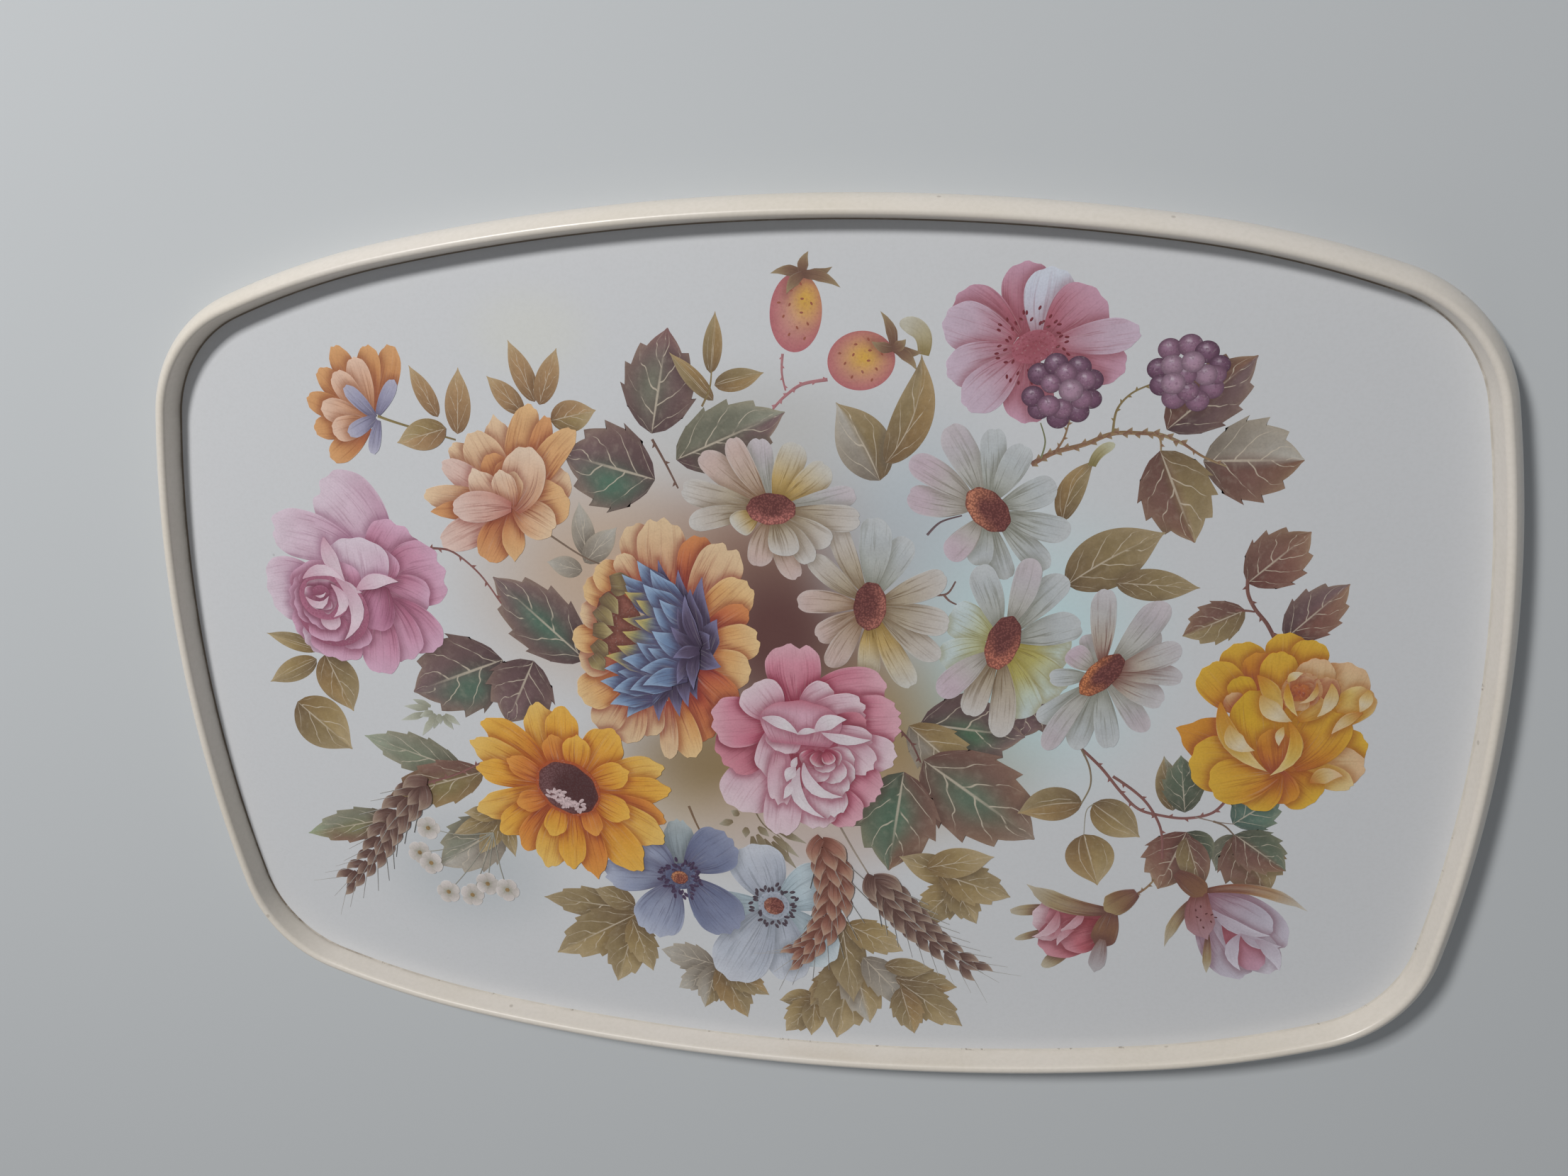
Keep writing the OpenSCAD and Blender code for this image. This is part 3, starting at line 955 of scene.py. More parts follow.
# %% Lobed leaves at the bottom
leaf_rows("leaf_bottom", [
    ((62, -78), (40, -70), 12, TAN, OLIVE, {"ribs": 3}), ((62, -80), (47, -97), 15, OLIVE, TAN, SAW),
    ((58, -78), (68, -96), 13, TAN, OLIVE, SAW), ((54, -76), (80, -84), 17, OLIVE, TAN, SAW),
    ((50, -74), (74, -68), 12, TAN, TAN, {"ribs": 3}), ((-62, -100), (-99, -97), 15, OLIVE, OLIVE, SAW),
    ((-62, -102), (-96, -122), 20, TAN, OLIVE, SAW), ((-62, -104), (-72, -133), 18, TAN, OLIVE, SAW),
    ((-64, -104), (-57, -127), 13, OLIVE, TAN, SAW),
    ((-62, -98), (-78, -92), 10, OLIVE, OLIVE, {"ribs": 3}),
    ((-32, -122), (-53, -117), 13, GREY_LEAF, GREY_LEAF, SAW),
    ((-32, -124), (-47, -134), 11, GREY_LEAF, GREY_LEAF, SAW),
    ((-31, -122), (-37, -142), 12, OLIVE, GREY_LEAF, SAW),
    ((-30, -122), (-20, -145), 15, OLIVE, OCHRE_LEAF, SAW),
    ((-30, -122), (-11, -134), 12, OCHRE_LEAF, OLIVE, SAW),
    ((7, -133), (-7, -136), 8, OLIVE, TAN, {"ribs": 3}), ((8, -134), (-5, -150), 13, OLIVE, TAN, SAW),
    ((7, -134), (5, -151), 9, TAN, OLIVE, {"ribs": 3}),
    ((20, -120), (5, -137), 14, OLIVE, OCHRE_LEAF, SAW), ((22, -112), (15, -151), 24, TAN, OLIVE, SAW),
    ((22, -114), (28, -143), 18, TAN, GREY_LEAF, SAW),
    ((18, -98), (22, -134), 15, OLIVE, OLIVE, {"ribs": 4}), ((20, -100), (41, -110), 14, TAN, TAN, SAW),
    ((26, -114), (44, -134), 15, GREY_LEAF, GREY_LEAF, SAW),
    ((38, -122), (61, -124), 13, OLIVE, OCHRE_LEAF, SAW),
    ((34, -117), (52, -117), 8, OLIVE, OLIVE, {"ribs": 3}), ((40, -124), (63, -141), 15, OLIVE, TAN, SAW),
    ((40, -126), (45, -146), 13, OCHRE_LEAF, OLIVE, SAW),
])
for i, (x, y) in enumerate([(-27, -61), (-17, -66), (-8, -65), (-22, -55), (-4, -76), (2, -78), (3, -73),
                            (6, -67),
                            (-13, -74), (-9, -72)]):
    petal("leaf_sprig_" + str(i // 5 + 1), (-12 + (x + 8) * 0.5, -58 + (y + 58) * 0.45), (x, y), 3.6,
          inks("756650", "8a7f6a", "a09a8c"), point=0.9, cap=0.4, streak=0.3)
stem("leaf_sprig_1", [(-14, -52), (-10, -60), (-3, -66), (-1, -73)], 0.6, inks("756650", "8a7f6a"))
stem("twig_low", [(18, -58), (23, -68), (28.5, -78)], 0.9, inks("8a7c70", "9a9086"))
stem("twig_low", [(-38, -54), (-36, -60), (-34, -65)], 1.0, inks("76604c", "76604c"))
stem("twig_low", [(41, -20), (45, -25), (48, -32)], 0.9, inks("6b4a46", "6b4a46"), thorns=3)
print(len(sheets), "sheets")

# %% [markdown]
# ## Flowers, buds and fruit round the edge
# The small flowers have thin stamens: dots on a spiral, so that no two rows of
# them line up. The pale blue flower has six wide petals.

# %% Stamens and the pale blue flower
INDIGO = inks("5a5670", "747a92", "8990a8", "a2a8ba")
INDIGO_DARK = inks("52506a", "626884", "707792", "8288a0")
SEA = inks("6a7076", "7c8690", "8a959c", "9ba3a6")
SKY = inks("858b96", "9ca2b0", "a8aebb", "b5b9c3")
SKY_PALE = inks("8a97a0", "a0b0ba", "adbac2", "b6c0c6")


def stamens(name, centre, inner, outer, count, code, dot=0.7):
    for i in range(count):
        turn = i * SPIRAL_TURN
        far = inner + (outer - inner) * float(seeds.uniform(0.1, 1))
        x, y = centre[0] + far * math.cos(turn), centre[1] + far * math.sin(turn)
        round_spot(name, (x, y), dot * 1.5, dot * 0.8, math.degrees(turn) + float(seeds.uniform(-40, 40)),
                   lambda a, b: tint(code) * (1 + 0.3 * b[..., None]), tint(code), crease=0.0, casts=False)


SOFT = {"cap": 0.66, "root": 0.25, "streak": 0.75, "crease": 0.6, "belly": 0.68}
bloom("sky_flower", [
    ((-8, -92), (-16, -69), 22, SKY), ((-5, -93), (16, -80), 20, SKY_PALE),
    ((-10, -95), (-39, -100), 18, SKY_PALE), ((-3, -96), (13, -118), 20, SKY_PALE),
    ((-6, -96), (-2, -127), 18, SKY), ((-10, -97), (-27, -128), 23, SKY),
], **SOFT)
round_spot("sky_flower_heart", (-7.4, -94), 6, 6, 0, lambda x, y: ramp(SKY, 0.3 + 0.2 * np.hypot(x, y)),
           tint("6b7480"))
stamens("sky_flower_stamens", (-7.4, -94), 6, 9.5, 34, "4a3f48", 0.75)
disc("sky_flower_disc", (-7.4, -94.2), 3.9, 3.7, 0, "a5715f", 200, "7a4a44", "b98a78")
print(len(sheets), "sheets")

# %% [markdown]
# ## Anemone
# Six indigo petals, with dark stamens close to a small disc.

# %% Anemone
bloom("anemone", [
    ((-42, -83), (-43, -60), 12, SEA), ((-46, -82), (-59, -71), 15, INDIGO),
    ((-47, -84), (-73, -84), 16, INDIGO), ((-46, -88), (-57, -110), 20, INDIGO),
    ((-40, -80), (-22.5, -67), 20, INDIGO_DARK), ((-39, -86), (-23, -106), 20, INDIGO_DARK),
], frill=0.03, frills=4, **SOFT)
round_spot("anemone_heart", (-43, -84), 6, 5.5, 0, lambda x, y: ramp(INDIGO_DARK, 0.3 * np.hypot(x, y)),
           tint("3f3a50"))
stamens("anemone_stamens", (-43, -85), 3.5, 9, 44, "463850", 0.75)
disc("anemone_disc", (-43.5, -84.5), 3.3, 2.8, 0, "b07a5a", 120, "8a5244", "c09070")
print(len(sheets), "sheets")

# %% [markdown]
# ## Cosmos
# Ten mauve petals. One of them catches the light and is nearly white.

# %% Cosmos
MAUVE = inks("8f4d58", "a0606e", "ab7a8a", "b38da0")
MAUVE_PALE = inks("9a5662", "a9808f", "b29cac", "b7a6b6")
ICE = inks("a5808c", "b0a8b6", "b7b9c8", "bcc2ce")
bloom("cosmos", [
    ((82, 111), (83, 89), 16, MAUVE), ((81, 116), (82, 139), 16, MAUVE), ((86, 115), (90, 137), 16, ICE),
    ((88, 115), (104, 128.5), 19, MAUVE), ((88, 113), (112, 106), 15, MAUVE),
    ((90, 114), (116, 117), 11, MAUVE_PALE), ((79, 116), (60, 129), 16, MAUVE),
    ((78, 115), (56, 122), 16, MAUVE_PALE), ((79, 112), (57, 105), 14, MAUVE_PALE),
    ((80, 110), (63, 94), 14, MAUVE_PALE),
], **SOFT)
round_spot("cosmos_heart", (84, 113), 7, 5, 20, lambda x, y: ramp(MAUVE, 0.25 * np.hypot(x, y)),
           tint("7f3f48"),
           crease=0.2)
stamens("cosmos_heart", (83.5, 113), 6, 12.5, 46, "6d3038", 0.5)
print(len(sheets), "sheets")

# %% [markdown]
# ## Orange side flower
# It is seen from the side: coral petals behind, pale ones over them, and a
# few blue ones at the foot. Slim golden leaves stand between it and the peony.

# %% Orange side flower
GOLDEN = inks("82654c", "987a5a", "a98e6c")
CORAL = inks("94553f", "ab6d4b", "b98458", "c29468")
HEATH_BLUE = inks("6d6880", "807e98", "9291a8", "a3a2b4")
SHELL = inks("a0694f", "b98c6e", "c7a18a", "ccb09e")
bloom("side_flower", [
    ((-143, 94), (-133, 117), 9, CORAL, {"bend": -0.08}), ((-144, 94), (-141, 117), 9, CORAL),
    ((-145, 93), (-154, 117), 9, CORAL), ((-146, 92), (-161, 109), 9, CORAL),
    ((-146, 91), (-167, 99), 9, CORAL), ((-146, 90), (-166, 88), 9, CORAL),
    ((-145, 89), (-161, 77), 9, CORAL), ((-144, 93), (-147, 113), 9, SHELL),
    ((-145, 92), (-155, 108), 9, SHELL), ((-145, 91), (-162, 96), 9, SHELL),
    ((-145, 90), (-159, 87), 9, SHELL), ((-142, 92), (-152, 103), 5.5, HEATH_BLUE),
    ((-141, 93), (-133, 105), 5, HEATH_BLUE), ((-142, 92), (-153, 86), 5.5, HEATH_BLUE),
    ((-141, 91), (-145, 79), 4.5, HEATH_BLUE),
], streak=0.8)
stem("side_flower_stem", [(-141, 92.5), (-137, 91), (-129, 88.5), (-113, 84)], 1.0,
     inks("857850", "7b6a4c"))
SLIM = {"ribs": 3, "tail": "ab9676"}
leaf_rows("leaf_slim", [
    ((-118.5, 92), (-127, 110), 7, GOLDEN, GOLDEN, SLIM), ((-116, 88), (-135, 83), 11, GOLDEN, TAN, SLIM),
    ((-112, 86), (-109, 109), 9.5, GOLDEN, GOLDEN, SLIM),
    ((-87, 93), (-99, 106), 8, GOLDEN, GOLDEN, SLIM), ((-82.5, 97), (-90, 118), 8, GOLDEN, GOLDEN, SLIM),
    ((-81, 96), (-73, 115), 8, GOLDEN, GOLDEN, SLIM), ((-77.5, 90.5), (-61, 94), 11, GOLDEN, TAN, SLIM),
])
print(len(sheets), "sheets")

# %% [markdown]
# ## Wheat
# An ear is rows of pointed grains on both sides of a curve.
# Each grain has a thin awn, and the grains grow shorter towards the tip.

# %% Wheat ears
def wheat(name, points, wide, shades, grains):
    line = curve_through(points, 12)
    for i in range(grains):
        k = int((1 - (i + 0.5) / grains) * (len(line) - 2))
        foot, ahead = line[k], line[k + 1] - line[k]
        ahead = ahead / np.linalg.norm(ahead)
        lean = (1, -1, 0.15)[i % 3]
        side = np.array((-ahead[1], ahead[0])) * lean
        size = wide * (0.75 + 0.35 * math.sin(math.pi * min(1, 0.25 + (1 - i / grains))))
        tip = foot + ahead * size * 0.95 + side * size * 0.62
        awn = [tuple(foot + side), tuple(tip), tuple(tip + ahead * 9 + side * 5)]
        stem(name + "_awns", awn, 0.35, inks("8f8a84", "a9a8a6"), thin=0.3)
        petal(name, tuple(foot - ahead * 2), tuple(tip), size * 0.62, shades, root=0.65, cap=0.55,
              point=0.75,
              belly=0.5, bend=0.16 * lean, streak=0.8, crease=0.85, rim=tint("a8968a"), rim_share=0.6)


EAR = inks("74483e", "93675a", "aa8a74")
EAR_DARK = inks("5f4540", "786058", "8e7b6c")
print(len(sheets), "sheets")

# %% [markdown]
# ## Three ears
# Two ears lie beside the pale blue flower, and one is at the far left.

# %% Three ears of wheat
wheat("wheat_left", [(12, -66), (15.5, -80), (14, -96), (7.3, -109), (-1, -116)], 8.5, EAR, 26)
wheat("wheat_right", [(31, -80), (40.7, -92.6), (54, -106), (69, -117)], 8.2, EAR_DARK, 26)
wheat("wheat_far", [(-143, -51), (-158, -66), (-170, -84), (-184, -97)], 8.2, EAR_DARK, 26)
print(len(sheets), "sheets")

# %% [markdown]
# ## Rose buds
# A bud is a few wrapped petals, light folds along their edges, and a calyx
# with long narrow sepals.

# %% Rose buds
CRIMSON = inks("7f3a42", "96484f", "a85c66", "b88590")
BUD_PALE = inks("a0606a", "b58791", "c0a0a9", "c3aeb6")
HEATH = inks("8c6674", "9f8a98", "a9a0ae", "b3aebb")
HEATH_PALE = inks("a08c9a", "b0a6b3", "b9b3bf", "bebac5")
SEPAL = inks("6d4a44", "7c5b45", "958260", "a8a090")
bloom("bud_red", [
    ((98, -87), (80, -90), 4.5, SEPAL), ((96, -96), (82, -101.5), 3, SEPAL),
    ((105, -100), (92, -112.5), 5.5, SEPAL), ((114, -92), (88, -92), 17, BUD_PALE),
    ((115, -91), (91, -104), 17, CRIMSON, {"streak": 0.3}), ((115, -90), (93, -93), 16, CRIMSON),
    ((114, -94), (98, -101), 15, CRIMSON, {"cap": 0.6}),
], cap=0.66)
for start, end, wide, bend in [
        ((106, -87), (97, -97), 3.5, 2), ((103, -96), (97, -103), 3, -1.5), ((98, -94), (89, -100), 3, 3),
        ((96, -97), (91, -100), 2, 1.5), ((97, -88), (88, -100), 4, 3),
    ]:
    fold("bud_red_folds", start, end, wide, bend, BUD_PALE)
bloom("bud_red_calyx", [
    ((116, -87), (86, -78.5), 7, SEPAL, {"point": 0.8, "bend": 0.1}),
    ((116, -87), (112, -103), 9, SEPAL[:2] + SEPAL[:1]),
    ((113, -99), (110.5, -113), 6, inks("7b5f58", "94878a", "a3a0a4")),
    ((124, -79), (113, -87), 9, SEPAL[:3]),
], point=0.6)
print(len(sheets), "sheets")

# %% [markdown]
# ## Lilac bud
# The lilac bud hangs to the right. Its longest sepal points away from it.

# %% Lilac bud
bloom("bud_lilac", [
    ((148, -78), (174, -98), 17, HEATH, {"bend": 0.06}),
    ((148, -82), (163, -110), 17, HEATH, {"bend": -0.06}), ((150, -84), (173, -107), 15, HEATH_PALE),
    ((155, -88), (167, -107), 11, MAUVE, {"streak": 0.2}), ((149, -79), (170, -92), 13, HEATH),
], cap=0.66)
for start, end, wide, bend in [((150, -84), (170, -93), 5, -2.5), ((160, -93), (174, -97), 4.5, -1.5),
                               ((160, -93), (161, -108), 5, -3), ((165, -95), (174, -107), 5.5, 2)]:
    fold("bud_lilac_folds", start, end, wide, bend, HEATH_PALE)
bloom("bud_lilac_calyx", [
    ((146, -77), (181, -82), 4.5, inks("6d443c", "84553f", "9c7c58", "b5b0a6"),
     {"point": 0.8, "bend": 0.12}),
    ((147, -77), (134.5, -100), 4, SEPAL, {"point": 0.9, "bend": -0.08}),
    ((149, -94), (149.5, -110), 3, SEPAL, {"point": 0.8}),
    ((146, -76), (149, -96), 10, inks("7a4c48", "8c5f60", "9c7c84"), {"point": 0.7, "bend": -0.1}),
    ((137, -70), (147, -78), 8, SEPAL[:2]),
])
stamens("bud_lilac_calyx", (147, -87), 1, 4.5, 9, "5a3434", 0.35)
print(len(sheets), "sheets")

# %% [markdown]
# ## Bramble fruit
# A fruit is sixteen drupelets. Each one is dark at its edge and has a soft
# gleam and a small glint near the top.

# %% Bramble fruit
def drupelet(name, x, y, size, code):
    def shade(a, b):
        far = np.hypot(a, b)
        body = blend(tint(code) + 0 * far[..., None], tint(code) * 0.42, np.clip((far - 0.45) / 0.6, 0, 1))
        soft = np.exp(-((a + 0.15) ** 2 + (b - 0.25) ** 2) / 0.16)
        body = blend(body, tint("a58ba2"), 0.5 * soft)
        return blend(body, tint("cfc3d0"), 0.85 * np.exp(-((a + 0.1) ** 2 + (b - 0.42) ** 2) / 0.02))
    round_spot(name, (x, y), size, size * 0.93, 0, shade, tint(code) * 0.6, crease=0.35)


def bramble_fruit(name, centre, drupelets):
    for i, (x, y, size, code) in enumerate(drupelets):
        drupelet(name + "_" + str(i // 8 + 1), centre[0] + x, centre[1] + y, size, code)


DEEP, MID, PALE = "74536a", "8c6980", "9f8195"
bramble_fruit("bramble_fruit_left", (93, 99.5), [
    (-1, -9, 3.6, DEEP), (-7, -6, 3.6, DEEP), (5, -7, 3.6, DEEP), (9, -3, 3.3, DEEP), (-9, -2, 3.6, DEEP),
    (9, 3, 3.6, DEEP), (-7, 5, 3.8, DEEP), (-2, 8, 3.8, DEEP), (5, 7, 3.8, DEEP), (0, -6, 3.5, MID),
    (-4, -5, 3.6, MID), (6, -3, 3.4, MID), (1, 5, 3.6, MID), (7, 3, 3.3, MID), (-3.5, 2, 3.2, MID),
    (2.7, -0.2, 3.8, PALE),
])
bramble_fruit("bramble_fruit_right", (131, 103.7), [
    (-6, 8, 3.6, MID), (0, 9, 3.8, MID), (5, 7, 3.7, DEEP), (-9, 2, 3.6, DEEP), (9, 3, 3.2, DEEP),
    (-8, -3, 3.6, DEEP), (7, -4, 3.7, MID), (-4, -7, 3.8, MID), (3, -8, 3.6, MID), (8, 0, 3.2, MID),
    (0, -5, 3.4, MID), (5, 0, 3.5, PALE), (-1, 0, 3.4, MID), (-5, 3, 3.5, PALE), (1, 4, 3.5, PALE),
    (-4.5, -2.5, 3.7, PALE),
])
print(len(sheets), "sheets")

# %% [markdown]
# ## Rose hips
# A hip is an oval that glows yellow on one side. Small spots lie on it, and
# it wears a crown of dry sepals.

# %% Rose hips
def hip(name, centre, rx, ry, turn, glow_at):
    def shade(a, b):
        near = np.exp(-((a - glow_at[0]) ** 2 + (b - glow_at[1]) ** 2) / 0.35)
        body = blend(tint("a55f68") + 0 * a[..., None], tint("b98a84"), np.clip(1.1 - np.hypot(a, b), 0, 1))
        return blend(body, tint("c39b4c"), near)
    round_spot(name, centre, rx, ry, turn, shade, tint("8f5058"), crease=0.5, strength=0.2)
    for i in range(12):
        angle, far = i * SPIRAL_TURN, 0.75 * math.sqrt((i + 1) / 12)
        x = centre[0] + rx * far * math.cos(angle)
        y = centre[1] + ry * far * math.sin(angle)
        round_spot(name, (x, y), 0.6, 0.35, 60 * i, lambda a, b: tint("8f5545") + 0 * a[..., None],
                   tint("8f5545"),
                   crease=0.0, casts=False)


def crown(name, centre, tips, wide=4.0):
    for i, (x, y) in enumerate(tips):
        petal(name, centre, (x, y), wide, inks("6b4f44", "7c6350", "8f7f64"), root=0.5, cap=0.4, point=0.9,
              bend=0.1 if i % 2 else -0.1, streak=0.4, crease=0.4)


print(len(sheets), "sheets")

# %% [markdown]
# ## Two hips
# Both hang from one short forked stem.

# %% Hips and their stems
HIP_STEM = inks("a5757a", "a06c70")
stem("hip_stems", [(4, 112), (3.5, 106), (4.5, 100)], 0.9, HIP_STEM, thorns=4, thorn=1)
stem("hip_stems", [(18.5, 103.5), (10, 102), (4, 98), (0, 94)], 1.2, HIP_STEM, thorns=7, thorn=1.1)
hip("hip_high", (8.8, 125), 8.5, 12.6, -6, (0.35, 0.35))
crown("hip_high_crown", (11.5, 137), [(1, 137.5), (13.5, 144), (21, 139), (23.5, 132.5), (6, 131)])
hip("hip_low", (29.6, 109.4), 11, 9.5, 8, (0.1, 0.1))
crown("hip_low_crown", (40, 113.3), [(36, 125), (33, 115.5), (49.5, 112), (47.5, 106), (44, 116)])
print(len(sheets), "sheets")

# %% [markdown]
# ## Daisies
# Five daisies fill the middle of the bouquet. They are seen a little from the
# side, so each disc is an oval with a lit rim and a dark hollow, and the petals
# on one side are longer. A petal's row below is: tip x and y, width, shades.

# %% Daisy shades
LILAC = inks("8d8a80", "a8a7a4", "ada8ad", "b3a6ae")
GREY = inks("85857a", "a3a6a3", "a9aeb1", "aeb2b6")
PINKISH = inks("8f877c", "aaa5a2", "b3a5ad", "b49cab")
CREAMY = inks("7d6850", "a29684", "b0a8a0", "b8b2ae")
SUNNY = inks("9a8c48", "aaa468", "b0b9aa", "b2c2c4")
ICY = inks("9b9560", "aeb39a", "b3bfbf", "b4c3c8")
RED_ROOT = inks("7b5148", "a59a90", "adabab", "b0a9af")
PEACH = inks("84664f", "a89484", "b5a29a", "ba9e98")
BUTTER = inks("8c7040", "b39a66", "b5aa94", "b8b4ac")


def daisy(name, centre, rx, ry, turn, lit, lit_side, petals, hollow="6d4240"):
    names = spread(name, len(petals))
    spin = math.radians(turn)
    for piece, (x, y, wide, shades) in zip(names, petals):
        away = math.atan2(y - centre[1], x - centre[0]) - spin
        reach = 0.72 * rx * ry / math.hypot(ry * math.cos(away), rx * math.sin(away))
        root = (centre[0] + reach * math.cos(away + spin), centre[1] + reach * math.sin(away + spin))
        petal(piece, root, (x, y), wide, shades, root=0.22, belly=0.66, cap=0.78,
              notch=float(seeds.choice((0.0, 0.02, 0.035))), skew=float(seeds.uniform(-0.35, 0.35)),
              bend=float(seeds.uniform(-0.05, 0.05)), rim=tint("bcc0c2"), rim_share=0.35,
              streak=0.95, crease=0.55)
    disc(name + "_disc", centre, rx, ry, turn, lit, lit_side, hollow)


print("daisies are ready")

# %% [markdown]
# ## Four daisies
# The petals go round each disc. Those that point away from the light are
# greyer, and a few near the blue cloud are tinted by it.

# %% Four daisies
daisy("daisy_high", (70.4, 60.3), 8.8, 5.8, -47, "b87a62", 215, [
    (77, 36.5, 8, GREY), (67.5, 41, 8.5, GREY), (90, 40, 9, GREY), (57, 44, 9, PINKISH),
    (97, 53, 9.5, GREY), (44, 65, 10, PINKISH), (45, 77, 9.5, PINKISH), (57, 88, 10.5, LILAC),
    (92, 69, 10, GREY), (71.5, 87.5, 8.5, GREY), (82, 82, 9, GREY),
])
daisy("daisy_blue", (75.9, 14), 10, 5.5, 72, "b26f5e", 190, [
    (58, 24, 14, ICY), (98.5, 12, 17, SUNNY), (95, -5, 17, SUNNY), (85, -13, 14, SUNNY), (55, 6, 12, ICY),
    (67, 41, 10, GREY), (101.5, 22, 11, GREY), (96, 38, 10, GREY), (85, 44, 9, LILAC),
    (75, -21, 9, CREAMY), (65, -13.5, 9, CREAMY), (54.5, -6, 9.5, PINKISH),
])
daisy("daisy_right", (108.7, 3.4), 9.6, 4.6, 48, "c07a52", 140, [
    (91.5, 1.5, 6.5, GREY), (104, 18, 7.5, LILAC), (98, 12, 8.5, PINKISH), (126.5, 20, 9, LILAC),
    (88, -14, 8, GREY), (100, -24, 8.5, GREY), (91, -25, 7.5, LILAC), (112.5, -23.5, 8, GREY),
    (123.5, -17, 8, LILAC), (129.5, -5, 9, RED_ROOT), (135, 3.5, 7.5, RED_ROOT), (134, 14, 8.5, RED_ROOT),
    (127.5, 30, 10, LILAC), (108.5, 34, 8.5, RED_ROOT),
])
daisy("daisy_low", (31, 26), 8.7, 5.6, 84, "a2685e", 250, [
    (45, 50, 9.5, GREY), (34, 57.5, 11, GREY), (20, 55, 8, CREAMY), (11, 44, 8, CREAMY),
    (5.5, 27, 8.5, PEACH), (12, 14, 8.5, PEACH), (17, 3, 8.5, PEACH), (30, -1, 8, BUTTER),
    (45, -3.5, 9, BUTTER), (54, 7, 9, CREAMY), (58, 20, 10.5, CREAMY), (57, 37, 9.5, CREAMY),
])
print(len(sheets), "sheets")

# %% [markdown]
# ## The cream daisy
# This one lies over the others. Two of its upper petals are butter yellow.

# %% The cream daisy at the top
daisy("daisy_cream", (-2, 60), 8.5, 5.5, 0, "ab6c66", 270, [
    (-25, 79.5, 9.5, PEACH), (-5, 84.5, 9, LILAC), (-15, 84.5, 8, PEACH), (8, 82.5, 10, BUTTER),
    (18, 75, 10, BUTTER), (27, 66, 8, LILAC), (28.5, 57, 9.5, CREAMY), (-33, 67, 9.5, CREAMY),
    (-31, 54.5, 8, CREAMY), (5.5, 35, 8, PEACH), (18, 48, 9, CREAMY), (11, 41, 8, CREAMY),
    (-7, 39.5, 9, PEACH), (2.5, 43.5, 10.5, CREAMY), (-15, 53, 9, BUTTER),
])

# %% [markdown]
# ## Big flowers
# A rose, two peonies, a dahlia and a sunflower are built from the back to the
# front: outer petals first, then the bowl, then the light lips of the folds.
# A row is: root, tip, width, shades, and any options of `petal`.

# %% Pink rose at the left
ROSE = inks("8b5268", "a86c84", "ba88a0", "c09cb2")
ROSE_DARK = inks("7c4458", "985e76", "ad7490", "b886a0")
ROSE_PALE = inks("a0708a", "b896aa", "c2aaba", "c4b6c2")
LIP = inks("bb93a4", "c6acba", "ccbcc6", "c6acba")
bloom("rose", [
    ((-149, 39), (-167, 69), 26, ROSE_PALE, {"notch": 0.05, "skew": 0.3, "bend": -0.1, "lean": -0.4}),
    ((-156, 41), (-190, 51), 19, ROSE_PALE, {"notch": 0.06, "bend": -0.05}),
    ((-150, 34), (-137, 52), 22, ROSE, {"frill": 0.03}),
    ((-148, 31), (-124, 37), 25, ROSE, {"frill": 0.04}), ((-148, 30), (-132, 21.5), 19, ROSE),
    ((-147, 23), (-131, 5), 17, ROSE, {"bend": 0.05}),
    ((-148, 24), (-144, 0.5), 20, ROSE, {"frill": 0.02, "glow": 0.5}),
    ((-151, 21), (-154, -5.5), 15, ROSE, {"notch": 0.05}),
    ((-172, 30), (-195, 27), 25, ROSE_PALE, {"frill": 0.02}),
    ((-151, 30), (-147, 44), 16, ROSE, {"cap": 0.62}),
    ((-157, 27), (-158, 48), 26, ROSE_PALE, {"cap": 0.6, "root": 0.6, "glow": 0.6}),
    ((-149, 30), (-156, 13), 16, ROSE_DARK, {"lean": 0.5, "glow": 0.5}),
    ((-170, 20), (-172, 39.5), 29, ROSE, {"cap": 0.6}),
    ((-168, 22), (-186.5, 26), 18, ROSE, {"frill": 0.03}), ((-168, 20), (-186, 11), 16, ROSE),
    ((-168, 16), (-182, 5), 14, ROSE_PALE, {"frill": 0.03}),
    ((-168, 16), (-172, 0.5), 21, ROSE, {"frill": 0.03}), ((-164, 16), (-161, 5), 13, ROSE),
])
print(len(sheets), "sheets")

# %% [markdown]
# ## Heart of the rose
# Two rounds of small petals close over a dark middle. Light lips follow.

# %% Heart of the pink rose
round_spot("rose_heart_1", (-170, 19.5), 14.5, 14, 0, lambda x, y: ramp(ROSE, 0.25 + 0.2 * y), ROSE[0])
bloom("rose_heart", [
    ((-172, 24), (-172, 36), 20, ROSE), ((-172, 22), (-160, 20), 20, ROSE),
    ((-172, 18), (-172, 7.5), 18, ROSE), ((-172, 22), (-185, 23), 16, ROSE, {"frill": 0.03}),
    ((-172, 22), (-179, 14.5), 13, ROSE, {"frill": 0.03}), ((-172, 22), (-171, 12), 8, LIP),
], cap=0.66, root=0.5, rim_share=0.8, crease=0.9)
round_spot("rose_heart_1", (-172.5, 25), 10, 9, 0, lambda x, y: ramp(ROSE, 0.1 + 0.2 * np.hypot(x, y)),
           ROSE[0])
bloom("rose_heart", [
    ((-173, 25), (-173, 32), 12, ROSE_DARK), ((-173, 25), (-168, 22), 11, ROSE),
    ((-173, 26), (-180, 24), 9, ROSE), ((-174, 26), (-175, 20), 10, ROSE),
], cap=0.66, root=0.5, rim=LIP[2], rim_share=0.8, crease=0.9)
round_spot("rose_heart_1", (-173.5, 27), 3.4, 2.6, 0, lambda x, y: ramp(ROSE_DARK, 0.2 + 0.2 * y), ROSE[0])
